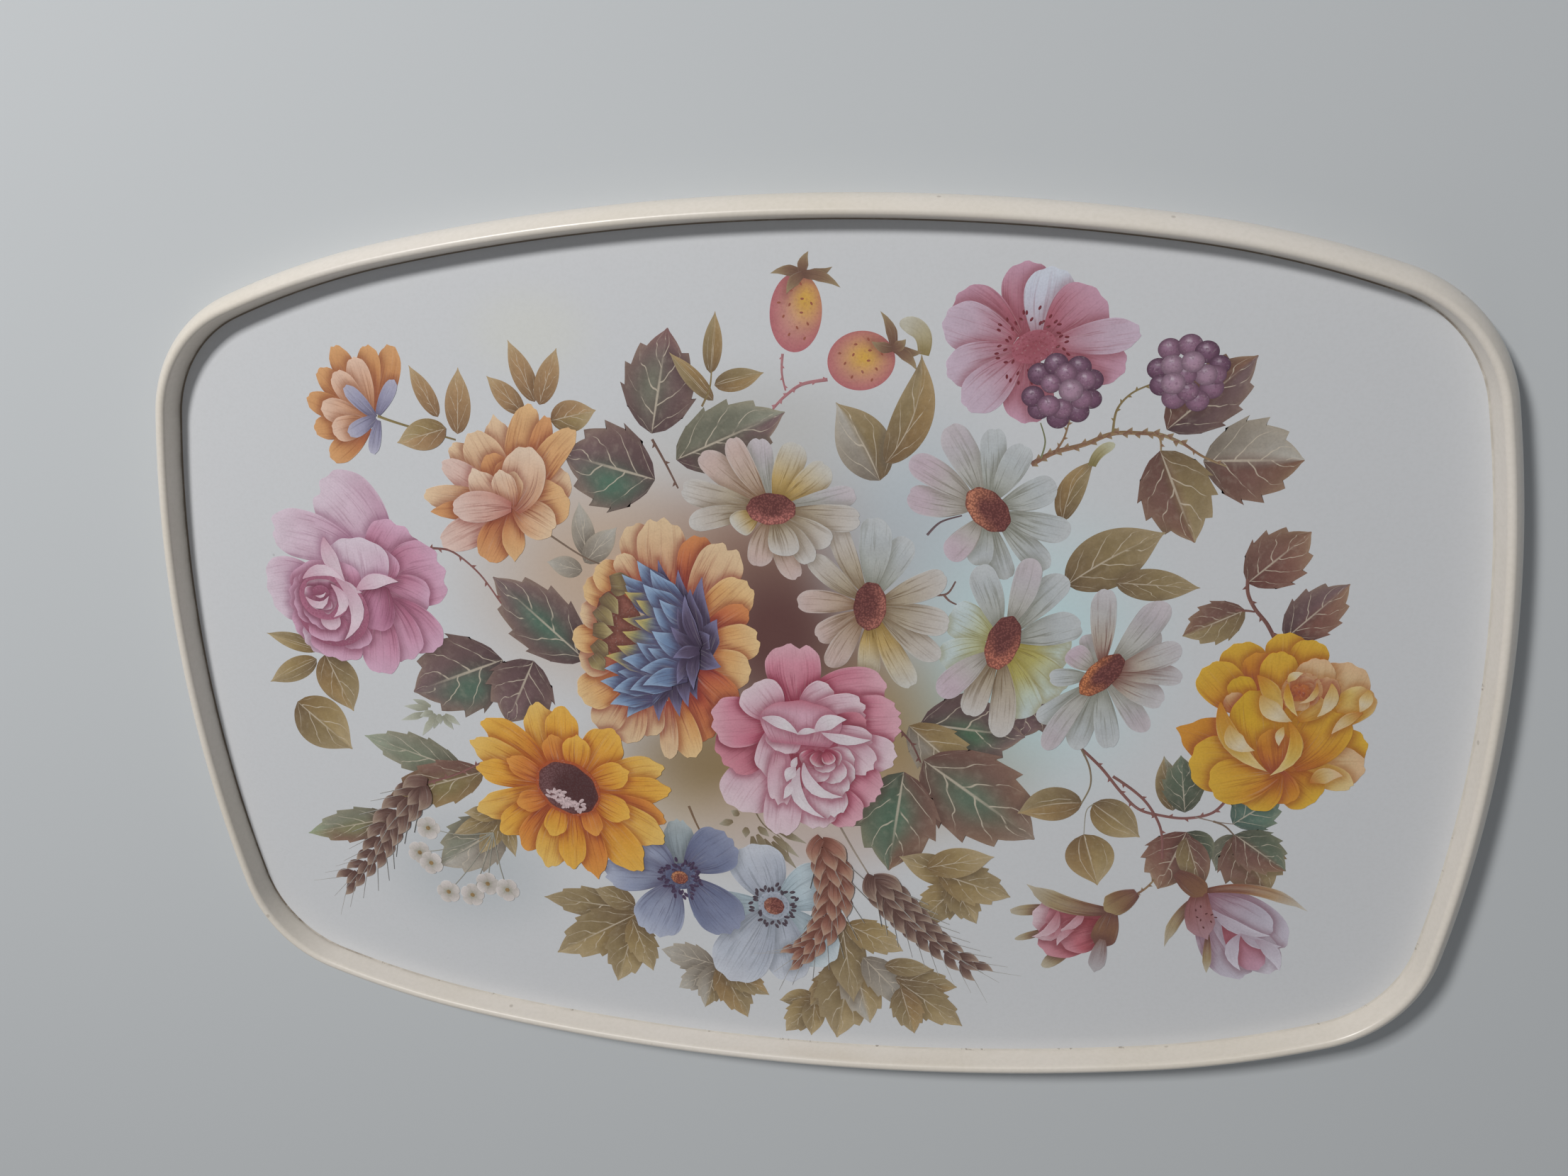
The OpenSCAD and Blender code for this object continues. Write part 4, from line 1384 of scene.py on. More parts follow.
for i, (start, end, wide, bend) in enumerate([
        ((-169, 48), (-163, 31), 6.5, -1.5), ((-164.5, 32), (-157, 27), 3.6, -1),
        ((-159, 28), (-142, 31.5), 6, 2), ((-167, 33), (-167, 8), 6, 7), ((-180, 32), (-163, 31), 4.6, 4),
        ((-169, 30), (-170, 17), 4.6, 4.5), ((-180, 25), (-170.5, 25.5), 3.4, -3.6),
        ((-176, 25.5), (-171.5, 27), 1.2, -1),
    ]):
    fold("rose_folds", start, end, wide, bend, LIP)
print(len(sheets), "sheets")

# %% [markdown]
# ## Yellow rose
# It is half open. Big petals lie round a bowl, and cream folds turn out
# along the edges of the inner petals.

# %% Yellow rose at the right
YELLOW = inks("a0582f", "b5762f", "c09136", "c39c3b")
YELLOW_PALE = inks("b5762f", "bf9440", "c4a95e", "c8b285")
YELLOW_CREAM = inks("ad6c35", "bd9a5c", "c6b189", "c5a583")
AMBER = inks("9a4f37", "ad6636", "b5762f", "bd8436")
GOLD = inks("a8622f", "bb8731", "c49c31", "bb9533")
HONEY = inks("9a4838", "b06f3f", "b98a55", "c3a07a")
WHITE_LIP = inks("b98f4c", "c4ab78", "c8bca4", "c6b088")
bloom("yellow_rose", [
    ((168, 2), (166, 20), 13, YELLOW), ((171, 3), (175.5, 17.5), 12, YELLOW),
    ((158, -3), (151.5, 16), 15, YELLOW), ((160, -3), (158.5, 13), 11, AMBER),
    ((156, -8), (142, 7.5), 15, YELLOW), ((157, -6), (152, 4), 9, GOLD), ((155, -9), (150, -2), 7, HONEY),
    ((176, -12), (187, 10), 18, YELLOW_CREAM, {"bend": -0.05}), ((180, -12), (194.5, 0), 12, YELLOW_PALE),
    ((172, -27), (194, -17), 16, YELLOW, {"cap": 0.66}), ((168, -29), (194.5, -26), 15, YELLOW_CREAM),
    ((168, -31), (191, -34), 9, YELLOW_PALE, {"bend": 0.12}), ((169, -30), (180, -40), 15, YELLOW),
    ((167, -29), (171.5, -41), 10, AMBER),
    ((164, -26), (134, -15), 18, AMBER, {"point": 0.55, "cap": 0.6}),
    ((166, -29), (139, -27), 21, YELLOW, {"glow": 0.5}),
    ((167, -29), (157, -42), 17, YELLOW, {"frill": 0.02}),
    ((167, -30), (146, -36), 17, YELLOW, {"glow": 0.5}), ((168, -28), (178, -1), 23, GOLD, {"cap": 0.6}),
    ((172, -27), (184, -7), 15, YELLOW, {"bend": -0.1}), ((163, -28), (159, 0), 20, GOLD, {"cap": 0.6}),
    ((167, -30), (164.5, -14), 11, AMBER, {"cap": 0.6}), ((165, -8), (165, 13.5), 12, YELLOW),
    ((172, -9), (176, 11.5), 13, YELLOW_CREAM, {"bend": -0.08}),
    ((172, -9), (181, 5), 10, HONEY, {"bend": -0.1}), ((172, -10), (180, -3), 8, YELLOW_PALE),
])
print(len(sheets), "sheets")

# %% [markdown]
# ## Folds of the yellow rose
# A fold is a crescent from its start to its end. The heart comes last.

# %% Folds and heart of the yellow rose
YELLOW_FOLDS = [
    ((158.5, 5), (167, -9), 6, 1, YELLOW_PALE), ((160, -2), (170.5, -11), 6.5, -1.5, WHITE_LIP),
    ((181.5, 3), (178, -9), 4.6, 2, WHITE_LIP), ((147.5, -5), (164, -29.5), 7, -4, YELLOW_PALE),
    ((151, -13), (159.5, -22), 6.5, -2.5, WHITE_LIP), ((169.5, -11), (165, -31), 5, 5, YELLOW_PALE),
    ((168, -13), (167, -20), 3, -0.6, WHITE_LIP), ((193, 1), (191, -7), 4.5, 0.5, WHITE_LIP),
    ((192, -7), (183, -15), 4, -1, YELLOW_CREAM), ((178, -33), (188, -30), 6, 1.5, YELLOW_CREAM),
]
for i, (start, end, wide, bend, shades) in enumerate(YELLOW_FOLDS):
    fold("yellow_rose_folds_" + str(i // 4 + 1), start, end, wide, bend, shades)
round_spot("yellow_rose_heart", (172.6, 0), 6.4, 6.6, -20, lambda x, y: ramp(HONEY, 0.75 + 0.2 * y),
           HONEY[0])
bloom("yellow_rose_heart", [
    ((172, -2), (173, 5.5), 8, HONEY), ((172, -2), (177.5, 0), 8, HONEY), ((172, 0), (171, -7), 8,
                                                                           YELLOW_CREAM),
], cap=0.66, root=0.5, rim=YELLOW_CREAM[3], rim_share=0.8)
round_spot("yellow_rose_heart", (171.8, -0.6), 3.6, 3, 20, lambda x,
           y: ramp(HONEY, 0.08 + 0.2 * np.hypot(x, y)),
           tint("84443a"))
for start, end, wide, bend, shades in [((168, 2.5), (172, -9), 3, -1.2, YELLOW_PALE),
                                       ((168, 3), (172.5, 6.4), 3, 0.8, WHITE_LIP),
                                       ((177, 3), (172, -4.4), 2.2, 2, YELLOW_CREAM)]:
    fold("yellow_rose_heart", start, end, wide, bend, shades)
print(len(sheets), "sheets")

# %% [markdown]
# ## Orange peony
# Long petals spread from one point below the middle, and a cup of short
# pale petals stands over them.

# %% Orange peony
ORANGE = inks("8f4a3a", "b57c54", "c29468", "c9a57a")
ORANGE_DEEP = inks("8a4638", "aa6848", "b97f56", "c08f64")
ORANGE_PALE = inks("95543f", "bb8a68", "c6a384", "ccb396")
BLUSH = inks("9c5f50", "bd9478", "c8a890", "cdb9a6")
PINK_EDGE = inks("a4665c", "bb9084", "c4a49a", "c8b2aa")
CUP = {"root": 0.5, "belly": 0.5, "cap": 0.6}
round_spot("peony_orange_petals_1", (-95.5, 61), 7, 6, 0, lambda x, y: ramp(ORANGE, 0.1 * np.hypot(x, y)),
           ORANGE[0])
bloom("peony_orange", [
    ((-95, 66), (-98, 92.5), 12, ORANGE_PALE, {"point": 0.5}),
    ((-92, 64), (-84, 96), 12, ORANGE, {"bend": 0.04}), ((-88, 66), (-78.5, 92), 8, ORANGE_DEEP),
    ((-87, 60), (-74, 73), 14, ORANGE_PALE), ((-88, 62), (-69, 87), 10, ORANGE, {"bend": 0.08}),
    ((-97, 64), (-115, 82), 12, ORANGE_PALE), ((-96, 63), (-107, 86.5), 15, ORANGE_PALE),
    ((-98, 62), (-119, 76), 10, PINK_EDGE), ((-98, 61), (-127.5, 64), 10, ORANGE_PALE),
    ((-98, 60), (-126, 58), 7, ORANGE_DEEP, {"point": 0.5}), ((-98, 57), (-123, 46), 12, PINK_EDGE),
    ((-96, 58), (-107, 40), 13, ORANGE_DEEP, {"notch": 0.04}),
    ((-95, 58), (-96, 40), 8.5, ORANGE, {"point": 0.6}),
    ((-93, 61), (-74, 64), 17, ORANGE, {"bend": -0.06}),
    ((-94, 60), (-80, 51.5), 14, ORANGE_PALE, {"notch": 0.04}),
    ((-96, 63), (-101, 79), 12, ORANGE_DEEP, CUP), ((-96, 63), (-94, 77), 11, ORANGE_DEEP, CUP),
    ((-95.5, 60), (-87.5, 81.5), 16, BLUSH, {"root": 0.5, "belly": 0.5, "cap": 0.62, "bend": -0.08}),
    ((-96, 61), (-108, 74), 11, BLUSH, {"point": 0.55, "root": 0.4, "bend": 0.12}),
    ((-95.5, 60.5), (-92.5, 73), 8, ORANGE_PALE, {"point": 0.5, "root": 0.5}),
    ((-95.5, 60.5), (-98, 73.5), 9, BLUSH, {"point": 0.5, "root": 0.6}),
    ((-95, 60), (-117, 58.5), 11.5, PINK_EDGE, {"bend": -0.04}),
], cap=0.62, belly=0.55, streak=0.9, root=0.3)
print(len(sheets), "sheets")

# %% [markdown]
# ## Dahlia
# Cream and red petals surround a cone of pointed scales. The scales go on
# in groups, and the ones nearest to the viewer come last.

# %% Dahlia
DAHLIA_CREAM = inks("94423a", "b07a5c", "c3a180", "c8b090")
DAHLIA_RED = inks("7f3434", "a04c3c", "b46a48", "bc7c50")
DAHLIA_GOLD = inks("984836", "b97c4a", "c79a66", "cdb084")
BLUE = inks("524a66", "5f7090", "7086a6", "8aa0ba")
BLUE_DARK = inks("44394e", "4f445a", "5d546c", "737090")
BLUE_GOLD = inks("57506c", "70819c", "918f66", "b2a164")
OCHRE = inks("6e5a48", "857654", "9c8c64", "aa9e78")
bloom("dahlia", [
    ((-43, 28), (-51, 54), 16, DAHLIA_CREAM), ((-42, 26), (-41, 56), 18, DAHLIA_CREAM, {"frill": 0.03}),
    ((-33, 24), (-27, 50), 14, DAHLIA_RED), ((-31, 20), (-17, 47), 17, DAHLIA_CREAM, {"notch": 0.06}),
    ((-31, 16), (-11, 33), 15, DAHLIA_GOLD, {"frill": 0.02}), ((-30, 12), (-12, 24), 10, DAHLIA_RED),
    ((-31, 8), (-8, 13), 14, DAHLIA_GOLD, {"notch": 0.05}), ((-32, 3), (-12, 0), 15, DAHLIA_GOLD),
    ((-34, 1), (-19, -14), 15, DAHLIA_RED), ((-38, -4), (-30, -27), 15, DAHLIA_RED),
    ((-41, -10), (-35, -34), 11, DAHLIA_GOLD), ((-43, -12), (-44, -35), 7, DAHLIA_CREAM),
    ((-50, -8), (-52, -26), 13, DAHLIA_CREAM), ((-55, -8), (-61, -29), 14, DAHLIA_CREAM),
    ((-58, -6), (-70, -24), 13, DAHLIA_CREAM), ((-58, -2), (-76, -12), 15, DAHLIA_GOLD),
    ((-60, 5), (-75, 2), 13, DAHLIA_CREAM), ((-60, 12), (-77, 11), 11, DAHLIA_GOLD),
    ((-56, 18), (-73, 22), 12, DAHLIA_CREAM), ((-54, 26), (-71, 31), 12, DAHLIA_GOLD),
    ((-50, 28), (-66, 38), 13, DAHLIA_GOLD), ((-50, 31), (-57, 43), 9, DAHLIA_CREAM),
], streak=0.85)
round_spot("dahlia_core", (-58.5, 16), 8.5, 14, 12, lambda x, y: tint("8a5a50") * (1 + 0.1 * y[...,
    None]), tint("6a4038"),
           crease=0.8)
for root, tip in [((-60, 32), (-55, 29)), ((-64, 28), (-59, 21)), ((-67, 23), (-61, 16.5)),
                  ((-69, 15), (-61.5, 14)),
                  ((-69, 10), (-64, 4.5)), ((-70, 5), (-66, -1)), ((-61, 33), (-52, 34))]:
    petal("dahlia_core_scales", root, tip, 6.5, OCHRE, root=0.7, belly=0.5, cap=0.5, point=0.8,
          crease=0.9, streak=0.6)
print(len(sheets), "sheets")

# %% [markdown]
# ## Scales of the dahlia
# Each group below is one ring of scales: root, tip and width.

# %% Scales of the dahlia
# The head is a cone of pointed scales: dark ones round its edge, then blue
# ones, gold-tipped ones beside the core, and the nearest blue ones last.
EDGE_SCALES = [
    ((-30, 14), (-36, 38), 7), ((-34, 20), (-43, 41.5), 6), ((-28, 8), (-27.5, 35.5), 8.5),
    ((-28, 6), (-23, 20), 9), ((-34, 4), (-32, -11), 6), ((-38, 2), (-39, -18), 7),
    ((-36, 2), (-35.5, -14), 6), ((-42, 0), (-47, -20), 7), ((-33, 8), (-22.5, 2), 9),
    ((-41, -4), (-53.5, -16), 7), ((-30, 12), (-32, 31), 8), ((-31, 10), (-26, 14), 9),
]
OUTER_SCALES = [
    ((-38, 28), (-50.5, 41), 9), ((-42, 26), (-56.5, 36), 8), ((-53, -9), (-68, -5), 8),
    ((-45, -6), (-59, -19), 9), ((-49, -11), (-65, -14), 7.5), ((-52, -2), (-66, 0), 7),
    ((-43, 22), (-55.5, 32), 8), ((-35, 25), (-46, 38), 8.5), ((-46, -6), (-61, -1), 8.5),
    ((-48, -7), (-63.5, -8.5), 8),
]
GOLD_SCALES = [
    ((-43, 25), (-56, 29.5), 7), ((-48, 0), (-65, 5), 8), ((-45, 6), (-60.5, 9), 8),
    ((-43, 12), (-58, 14.5), 7.5), ((-41, 19), (-57.5, 19.5), 6.5), ((-40, 22), (-52, 26.5), 7.5),
    ((-41, 17), (-53, 19), 6.5),
]
INNER_SCALES = [
    ((-44, 0), (-59, 4), 8), ((-41, -5), (-57, -8), 8.5), ((-35, 22), (-49, 32.5), 9.5),
    ((-39, 4), (-53, 10.5), 8.5), ((-33, 16), (-46, 24), 11), ((-32, 18), (-43.5, 27), 7),
    ((-35, 4), (-49, 8.5), 8), ((-32, 8), (-47, 15), 10), ((-36, -1), (-52.5, 0), 9),
    ((-35, -2), (-52, -6), 7.5),
]
HUB_SCALES = [((-30, 9), (-37, 24), 6), ((-30, 8), (-40, 17), 5.5), ((-31, 7), (-39, -5), 6),
              ((-31, 8), (-33, -7), 5), ((-30, 10), (-34, 29), 5), ((-30, 8), (-40, 5), 5)]
for group, shades in [(EDGE_SCALES, BLUE_DARK), (OUTER_SCALES, BLUE), (GOLD_SCALES, BLUE_GOLD),
                      (INNER_SCALES, BLUE), (HUB_SCALES, BLUE_DARK)]:
    for i, (root, tip, wide) in enumerate(group):
        lift = 0.07 if tip[1] > 8 else -0.07
        petal("dahlia_scales_" + str(i // 6 + 1), root, tip, wide, shades, root=0.55,
              belly=0.55, cap=0.42, point=0.8, bend=lift, rim=shades[-1] * 1.15, rim_share=0.7,
              streak=0.75, crease=0.9)
print(len(sheets), "sheets")

# %% [markdown]
# ## Sunflower
# Long golden petals lie behind short ones. The dark disc has pale flecks
# on its lower left side.

# %% Sunflower
SUN = inks("a5522c", "bd7730", "cb943c", "d0a24c")
SUN_PALE = inks("ac6130", "c28638", "cc9f4c", "cfac62")
SUN_RED = inks("964830", "b06134", "c0783a", "c88c46")
bloom("sunflower", [
    ((-90, -40), (-94, -14), 14, SUN_PALE), ((-86, -40), (-84, -15), 13, SUN),
    ((-78, -44), (-64, -24), 16, SUN), ((-93, -40), (-117, -23), 12, SUN, {"bend": -0.06}),
    ((-74, -47), (-46, -39), 12, SUN_PALE, {"bend": 0.05}), ((-96, -44), (-122, -31), 12, SUN_PALE),
    ((-73, -49), (-44, -48), 11, SUN), ((-96, -47), (-121, -42), 11, SUN),
    ((-73, -53), (-47, -61), 12, SUN_RED), ((-96, -50), (-123, -60), 12, SUN_PALE, {"bend": 0.06}),
    ((-74, -54), (-48, -70), 14, SUN_PALE), ((-94, -54), (-114, -70), 12, SUN),
    ((-77, -57), (-58, -83), 15, SUN), ((-92, -57), (-105, -77), 12, SUN_RED),
    ((-80, -58), (-76, -87), 12, SUN_RED), ((-88, -58), (-96, -84), 14, SUN_PALE),
    ((-84, -59), (-86, -84), 11, SUN), ((-93, -46), (-108, -38), 9, SUN_RED),
    ((-92, -53), (-106, -57), 9, SUN_RED), ((-87, -42), (-89, -27), 10, SUN_RED),
    ((-81, -42), (-79, -27), 11, SUN), ((-76, -46), (-60, -41), 11, SUN),
    ((-76, -52), (-61, -60), 11, SUN), ((-78, -55), (-75, -69), 8, SUN_RED),
    ((-88, -56), (-93, -70), 9, SUN),
], root=0.36, point=0.5, cap=0.66, belly=0.6, streak=0.85, frill=0.02)
round_spot("sunflower_petals_1", (-84.5, -49), 13, 11, -30, lambda x, y: ramp(SUN_RED, 0.1 * np.hypot(x,
                                                                                                      y)),
           SUN_RED[0], crease=0.0, casts=False)
disc("sunflower_disc", (-84.5, -49), 12.2, 9.8, -35, "6e5052", 215, "4e3638", "6a4a48")
for x, y, count in [(-89.5, -52, 14), (-86, -55, 16), (-81.5, -56.5, 12)]:
    stamens("sunflower_disc", (x, y), 0.2, 3.4, count, "b8a3a6", 0.8)
print(len(sheets), "sheets")

# %% [markdown]
# ## Pink peony
# It is the fullest flower: frilled outer petals, a wide bowl, and a heart
# of small petals with almost white edges.

# %% Pink peony in the middle
PEONY = inks("903c50", "ac5c70", "bd7c8e", "c49aa6")
PEONY_DARK = inks("863a4a", "a05264", "b06a7a", "ba7e8c")
PEONY_PALE = inks("a8687a", "bb909e", "c4a8b4", "c8b6be")
WHITE_EDGE = inks("bda6b0", "c8bcc4", "ccc6cb", "c8bcc4")
bloom("peony_pink", [
    ((4, -12), (3, 11.5), 20, PEONY, {"notch": 0.07, "skew": -0.3}),
    ((8, -12), (36, -5), 17, PEONY, {"bend": 0.1}),
    ((14, -18), (41, -16), 20, PEONY, {"frill": 0.03, "frills": 5}),
    ((20, -26), (39, -31), 14, PEONY_PALE, {"frill": 0.03}),
    ((14, -34), (32, -47), 19, PEONY, {"frill": 0.03, "frills": 5}),
    ((10, -42), (25, -57), 15, PEONY, {"frill": 0.03}),
    ((8, -42), (11, -60), 15, PEONY_PALE, {"frill": 0.03}),
    ((-3, -34), (-20, -54), 21, PEONY_PALE, {"bend": -0.06}),
    ((0, -36), (-4, -64), 14, PEONY_PALE, {"notch": 0.03}),
    ((-6, -22), (-24, -35), 20, PEONY_DARK, {"frill": 0.03}),
    ((-4, -18), (-27, -20), 20, PEONY, {"frill": 0.03}),
    ((-3, -17), (-12, -4.5), 17, PEONY_PALE, {"notch": 0.04}), ((6, -12), (17, -5), 11, PEONY_PALE),
    ((8, -15), (28.5, -12), 13, PEONY_PALE, {"frill": 0.04}), ((14, -19), (29, -17.5), 9, PEONY_DARK),
    ((12, -22), (31, -24), 9, PEONY_PALE), ((18, -24), (30, -36), 13, PEONY_PALE, {"frill": 0.04}),
    ((-1, -18), (-7, -41), 14, PEONY_PALE, {"point": 0.5}), ((6, -22), (8, -46), 24, PEONY_DARK),
    ((-2, -28), (-3, -51), 10, PEONY_PALE, {"frill": 0.05}),
    ((8, -18), (8, -31), 21, PEONY, {"frill": 0.04, "frills": 5}), ((2, -18), (-3, -30), 13, PEONY_PALE),
    ((5, -27), (6, -10), 30, inks("a8687a", "c4a2b0", "c4a0b0", "b4788a"), {"cap": 0.5, "root": 0.7,
                                                                            "rim": tint("a8606f")}),
], crease=0.85)
print(len(sheets), "sheets")

# %% [markdown]
# ## Heart of the peony
# Small petals close round the middle, each with a light edge.

# %% Heart of the pink peony
bloom("peony_pink_heart", [
    ((12, -38), (14, -55.5), 17, PEONY_PALE, {"frill": 0.04, "frills": 5}),
    ((12, -33), (24.5, -33), 12, PEONY_PALE), ((12, -34), (24, -40), 11, PEONY_PALE),
    ((12, -36), (19, -47), 13, PEONY_PALE, {"frill": 0.04}), ((11, -34), (6, -44), 10, PEONY),
    ((13, -31), (19, -41), 10, PEONY_PALE), ((11, -31), (10, -41.5), 10, PEONY_PALE),
    ((13, -30), (19, -34), 8, PEONY), ((11, -30), (6, -35), 8, PEONY),
    ((13, -30), (14, -37.5), 8, PEONY_PALE), ((13, -29.5), (10, -35), 6, PEONY_DARK),
    ((14, -29.5), (16, -34), 5, PEONY_DARK),
], cap=0.66, root=0.5, rim=WHITE_EDGE[2], rim_share=0.85, crease=0.9)
for i, (start, end, wide, bend) in enumerate([
        ((-8.5, -17), (4.5, -23), 4.6, 1.2), ((4, -23), (12, -21.5), 2.6, 0.8),
        ((10.5, -21.5), (22, -16.5), 6, 1.5), ((13, -22), (30.5, -24), 4.2, -1.5),
        ((4.5, -36), (13, -56), 5, -5.5), ((6, -34), (20, -47), 5, -5), ((3.6, -32), (2, -38), 2.6, -0.5),
        ((3, -36), (-0.5, -42), 4.5, -0.6), ((1, -42), (-2, -49), 3.2, 0.5),
    ]):
    fold("peony_pink_folds", start, end, wide, bend, WHITE_EDGE)
print(len(sheets), "sheets")

# %% [markdown]
# ## Stack the sheets
# The sheets go on in the order that they were painted. A sheet lies one step
# above the highest sheet that it crosses, so nothing cuts through anything.
# Where a later sheet covers an earlier one, the earlier one is shaded along
# its edge, as a painter darkens the gap under a petal.

# %% Which sheets cross, and where they shade each other
def border(grid):
    """The grid's edge points in order, as one closed loop."""
    return np.concatenate((grid[0, :-1], grid[:-1, -1], grid[-1, :0:-1], grid[:0:-1, 0]))


def inside(points, loop):
    """Whether each point lies inside the loop."""
    x, y = points[:, 0:1], points[:, 1:2]
    x0, y0 = loop[:, 0], loop[:, 1]
    x1, y1 = np.roll(x0, -1), np.roll(y0, -1)
    rise = np.where(np.abs(y1 - y0) < 1e-12, 1e-12, y1 - y0)
    cross = ((y0 > y) != (y1 > y)) & (x < (x1 - x0) * (y - y0) / rise + x0)
    return np.sum(cross, axis=1) % 2 == 1


def distance(points, loop):
    """How far each point is from the loop."""
    a = loop[None, :, :]
    ab = np.roll(loop, -1, axis=0)[None, :, :] - a
    ap = points[:, None, :] - a
    share = np.clip(np.sum(ap * ab, -1) / np.maximum(np.sum(ab * ab, -1), 1e-9), 0, 1)
    return np.min(np.linalg.norm(ap - share[..., None] * ab, axis=-1), axis=1)


SHADE_REACH = 1.9


def measure(sheet):
    sheet["loop"] = border(sheet["xy"])
    sheet["flat"] = sheet["xy"].reshape(-1, 2)
    sheet["low"] = sheet["flat"].min(0)
    sheet["high"] = sheet["flat"].max(0)


def set_levels(low, high):
    """Each sheet lies one step above the highest sheet that it crosses."""
    for i, sheet in enumerate(sheets):
        sheet["level"] = 0
        near = np.all((low[:i] < high[i]) & (high[:i] > low[i]), axis=1).nonzero()[0]
        for j in near:
            other = sheets[j]
            if other["level"] < sheet["level"]:
                continue
            if inside(sheet["flat"], other["loop"]).any() or inside(other["flat"], sheet["loop"]).any():
                sheet["level"] = other["level"] + 1


def darken_gaps(sheet, later):
    """Shades one sheet near the edges of the later sheets that cover it."""
    shade = np.zeros(len(sheet["flat"]))
    for other in later:
        away = distance(sheet["flat"], other["loop"])
        away[inside(sheet["flat"], other["loop"])] = 0
        shade = np.maximum(shade, np.exp(-(away / SHADE_REACH) ** 2))
    shade = shade.reshape(sheet["xy"].shape[:2]) * sheet["crease"]
    sheet["paint"] = blend(sheet["paint"], sheet["deep"], shade)


print("three steps: measure, set levels, darken gaps")

# %% [markdown]
# ## Run the stacking
# The boxes round the sheets are compared first, because that is quick. Only
# sheets whose boxes meet are compared point by point.

# %% Stack all the sheets
for sheet in sheets:
    measure(sheet)
low = np.array([s["low"] for s in sheets])
high = np.array([s["high"] for s in sheets])
set_levels(low, high)
reach = 2.5 * SHADE_REACH
for i, sheet in enumerate(sheets):
    if sheet["crease"]:
        close = (low[i + 1:] < high[i] + reach) & (high[i + 1:] > low[i] - reach)
        near = np.all(close, axis=1).nonzero()[0] + i + 1
        darken_gaps(sheet, [sheets[j] for j in near if sheets[j]["casts"]])
top_level = max(s["level"] for s in sheets)
print(len(sheets), "sheets in", top_level + 1, "levels,", round(top_level * STEP / MM, 2), "mm in all")

# %% [markdown]
# ## Varnish
# All the ink has the same satin varnish as the panel, over a fine grain.

# %% Varnish
def varnish(finish, colour):
    place = finish.place()
    grain = finish.noise(place, 1400, 2)
    colour = finish.mix(finish.band(grain, 0.3, 0.8), colour, (0.9, 0.9, 0.9, 1), "MULTIPLY")
    finish.colour(colour)
    wear = finish.noise(place, 45, 4)
    finish.rough(wear, 0.26, 0.4)
    finish.bump(grain, 0.04, 0.0002)
    return finish.material


print("the varnish is the same on all the ink")

# %% [markdown]
# ## Petal ink
# Dark and pale streaks follow the stroke. Their strength comes with each sheet.

# %% Petal ink
def petal_ink():
    finish = Finish("petal_ink")
    paint, vein = finish.attribute("paint"), finish.attribute("vein")
    share = finish.attribute("vein", 3)
    lane = finish.attribute("lane", 1)
    dark = finish.band(finish.noise(lane, 1.0, 3, 0.55), 0.53, 0.63)
    colour = finish.mix(finish.maths("MULTIPLY", dark, share), paint, vein)
    moved = finish.node("ShaderNodeVectorMath", {0: lane, 1: (31, 7, 3)}, operation="ADD")
    light = finish.band(finish.noise(moved, 1.3, 3, 0.5), 0.56, 0.72)
    pale = finish.mix(0.25, paint, (0.85, 0.83, 0.8, 1))
    colour = finish.mix(finish.maths("MULTIPLY", finish.maths("MULTIPLY", light, share), 0.9), colour, pale)
    cloudy = finish.noise(finish.place(), 160, 3)
    colour = finish.mix(finish.band(cloudy, 0.35, 0.7), colour, (0.93, 0.92, 0.92, 1), "MULTIPLY")
    return varnish(finish, colour)


# %% [markdown]
# ## Leaf ink
# A rib is drawn wherever a slanting count along the leaf reaches a half. The
# count starts at another place on each leaf, and the ribs fade to the edge.

# %% Leaf ink
def leaf_ink():
    finish = Finish("leaf_ink")
    paint, vein = finish.attribute("paint"), finish.attribute("vein")
    ribs = finish.maths("MULTIPLY", finish.attribute("vein", 3), float(MOST_RIBS))
    split = finish.nodes.new("ShaderNodeSeparateXYZ")
    finish.put(split.inputs[0], finish.attribute("lane", 1))
    v, t, seed = split.outputs
    side = finish.maths("ABSOLUTE", v)
    wobble = finish.maths("MULTIPLY", finish.noise(finish.attribute("lane", 1), 3.0, 1), 0.5)
    run = finish.maths("SUBTRACT", finish.maths("MULTIPLY", t, ribs), finish.maths("MULTIPLY", side, 1.5))
    shift = finish.maths("MULTIPLY", finish.maths("SIGN", v), 0.22)
    run = finish.maths("ADD", finish.maths("ADD", run, wobble), shift)
    beat = finish.maths("FRACT", finish.maths("ADD", run, seed))
    line = finish.maths("ABSOLUTE", finish.maths("SUBTRACT", beat, 0.5))
    taper = finish.maths("SUBTRACT", 1.3, side)
    rib = finish.band(finish.maths("DIVIDE", line, taper), 0.042, 0.014)
    rib = finish.maths("MULTIPLY", rib, finish.band(side, 0.98, 0.6))
    broken = finish.band(finish.noise(finish.attribute("lane", 1), 4.0, 2), 0.3, 0.5)
    rib = finish.maths("MULTIPLY", rib, broken)
    middle = finish.maths("MULTIPLY", finish.band(side, 0.045, 0.012), finish.band(t, 0.95, 0.3))
    lines = finish.maths("MAXIMUM", finish.maths("MULTIPLY", rib, 0.72), finish.maths("MULTIPLY", middle,
                                                                                      0.65))
    mottle = finish.noise(finish.place(), 260, 4, 0.6)
    colour = finish.mix(finish.band(mottle, 0.3, 0.75), paint, (0.88, 0.87, 0.86, 1), "MULTIPLY")
    stroke = finish.noise(finish.node("ShaderNodeVectorMath", {0: finish.attribute("lane", 1),
                                                               1: (5, 14, 1)},
                                      operation="MULTIPLY"), 1.0, 3)
    colour = finish.mix(finish.maths("MULTIPLY", finish.band(stroke, 0.5, 0.75), 0.1), colour, vein)
    colour = finish.mix(lines, colour, vein)
    return varnish(finish, colour)


# %% [markdown]
# ## Pollen ink
# Small cells of lighter paint with dark gaps between them make a crumbly disc.

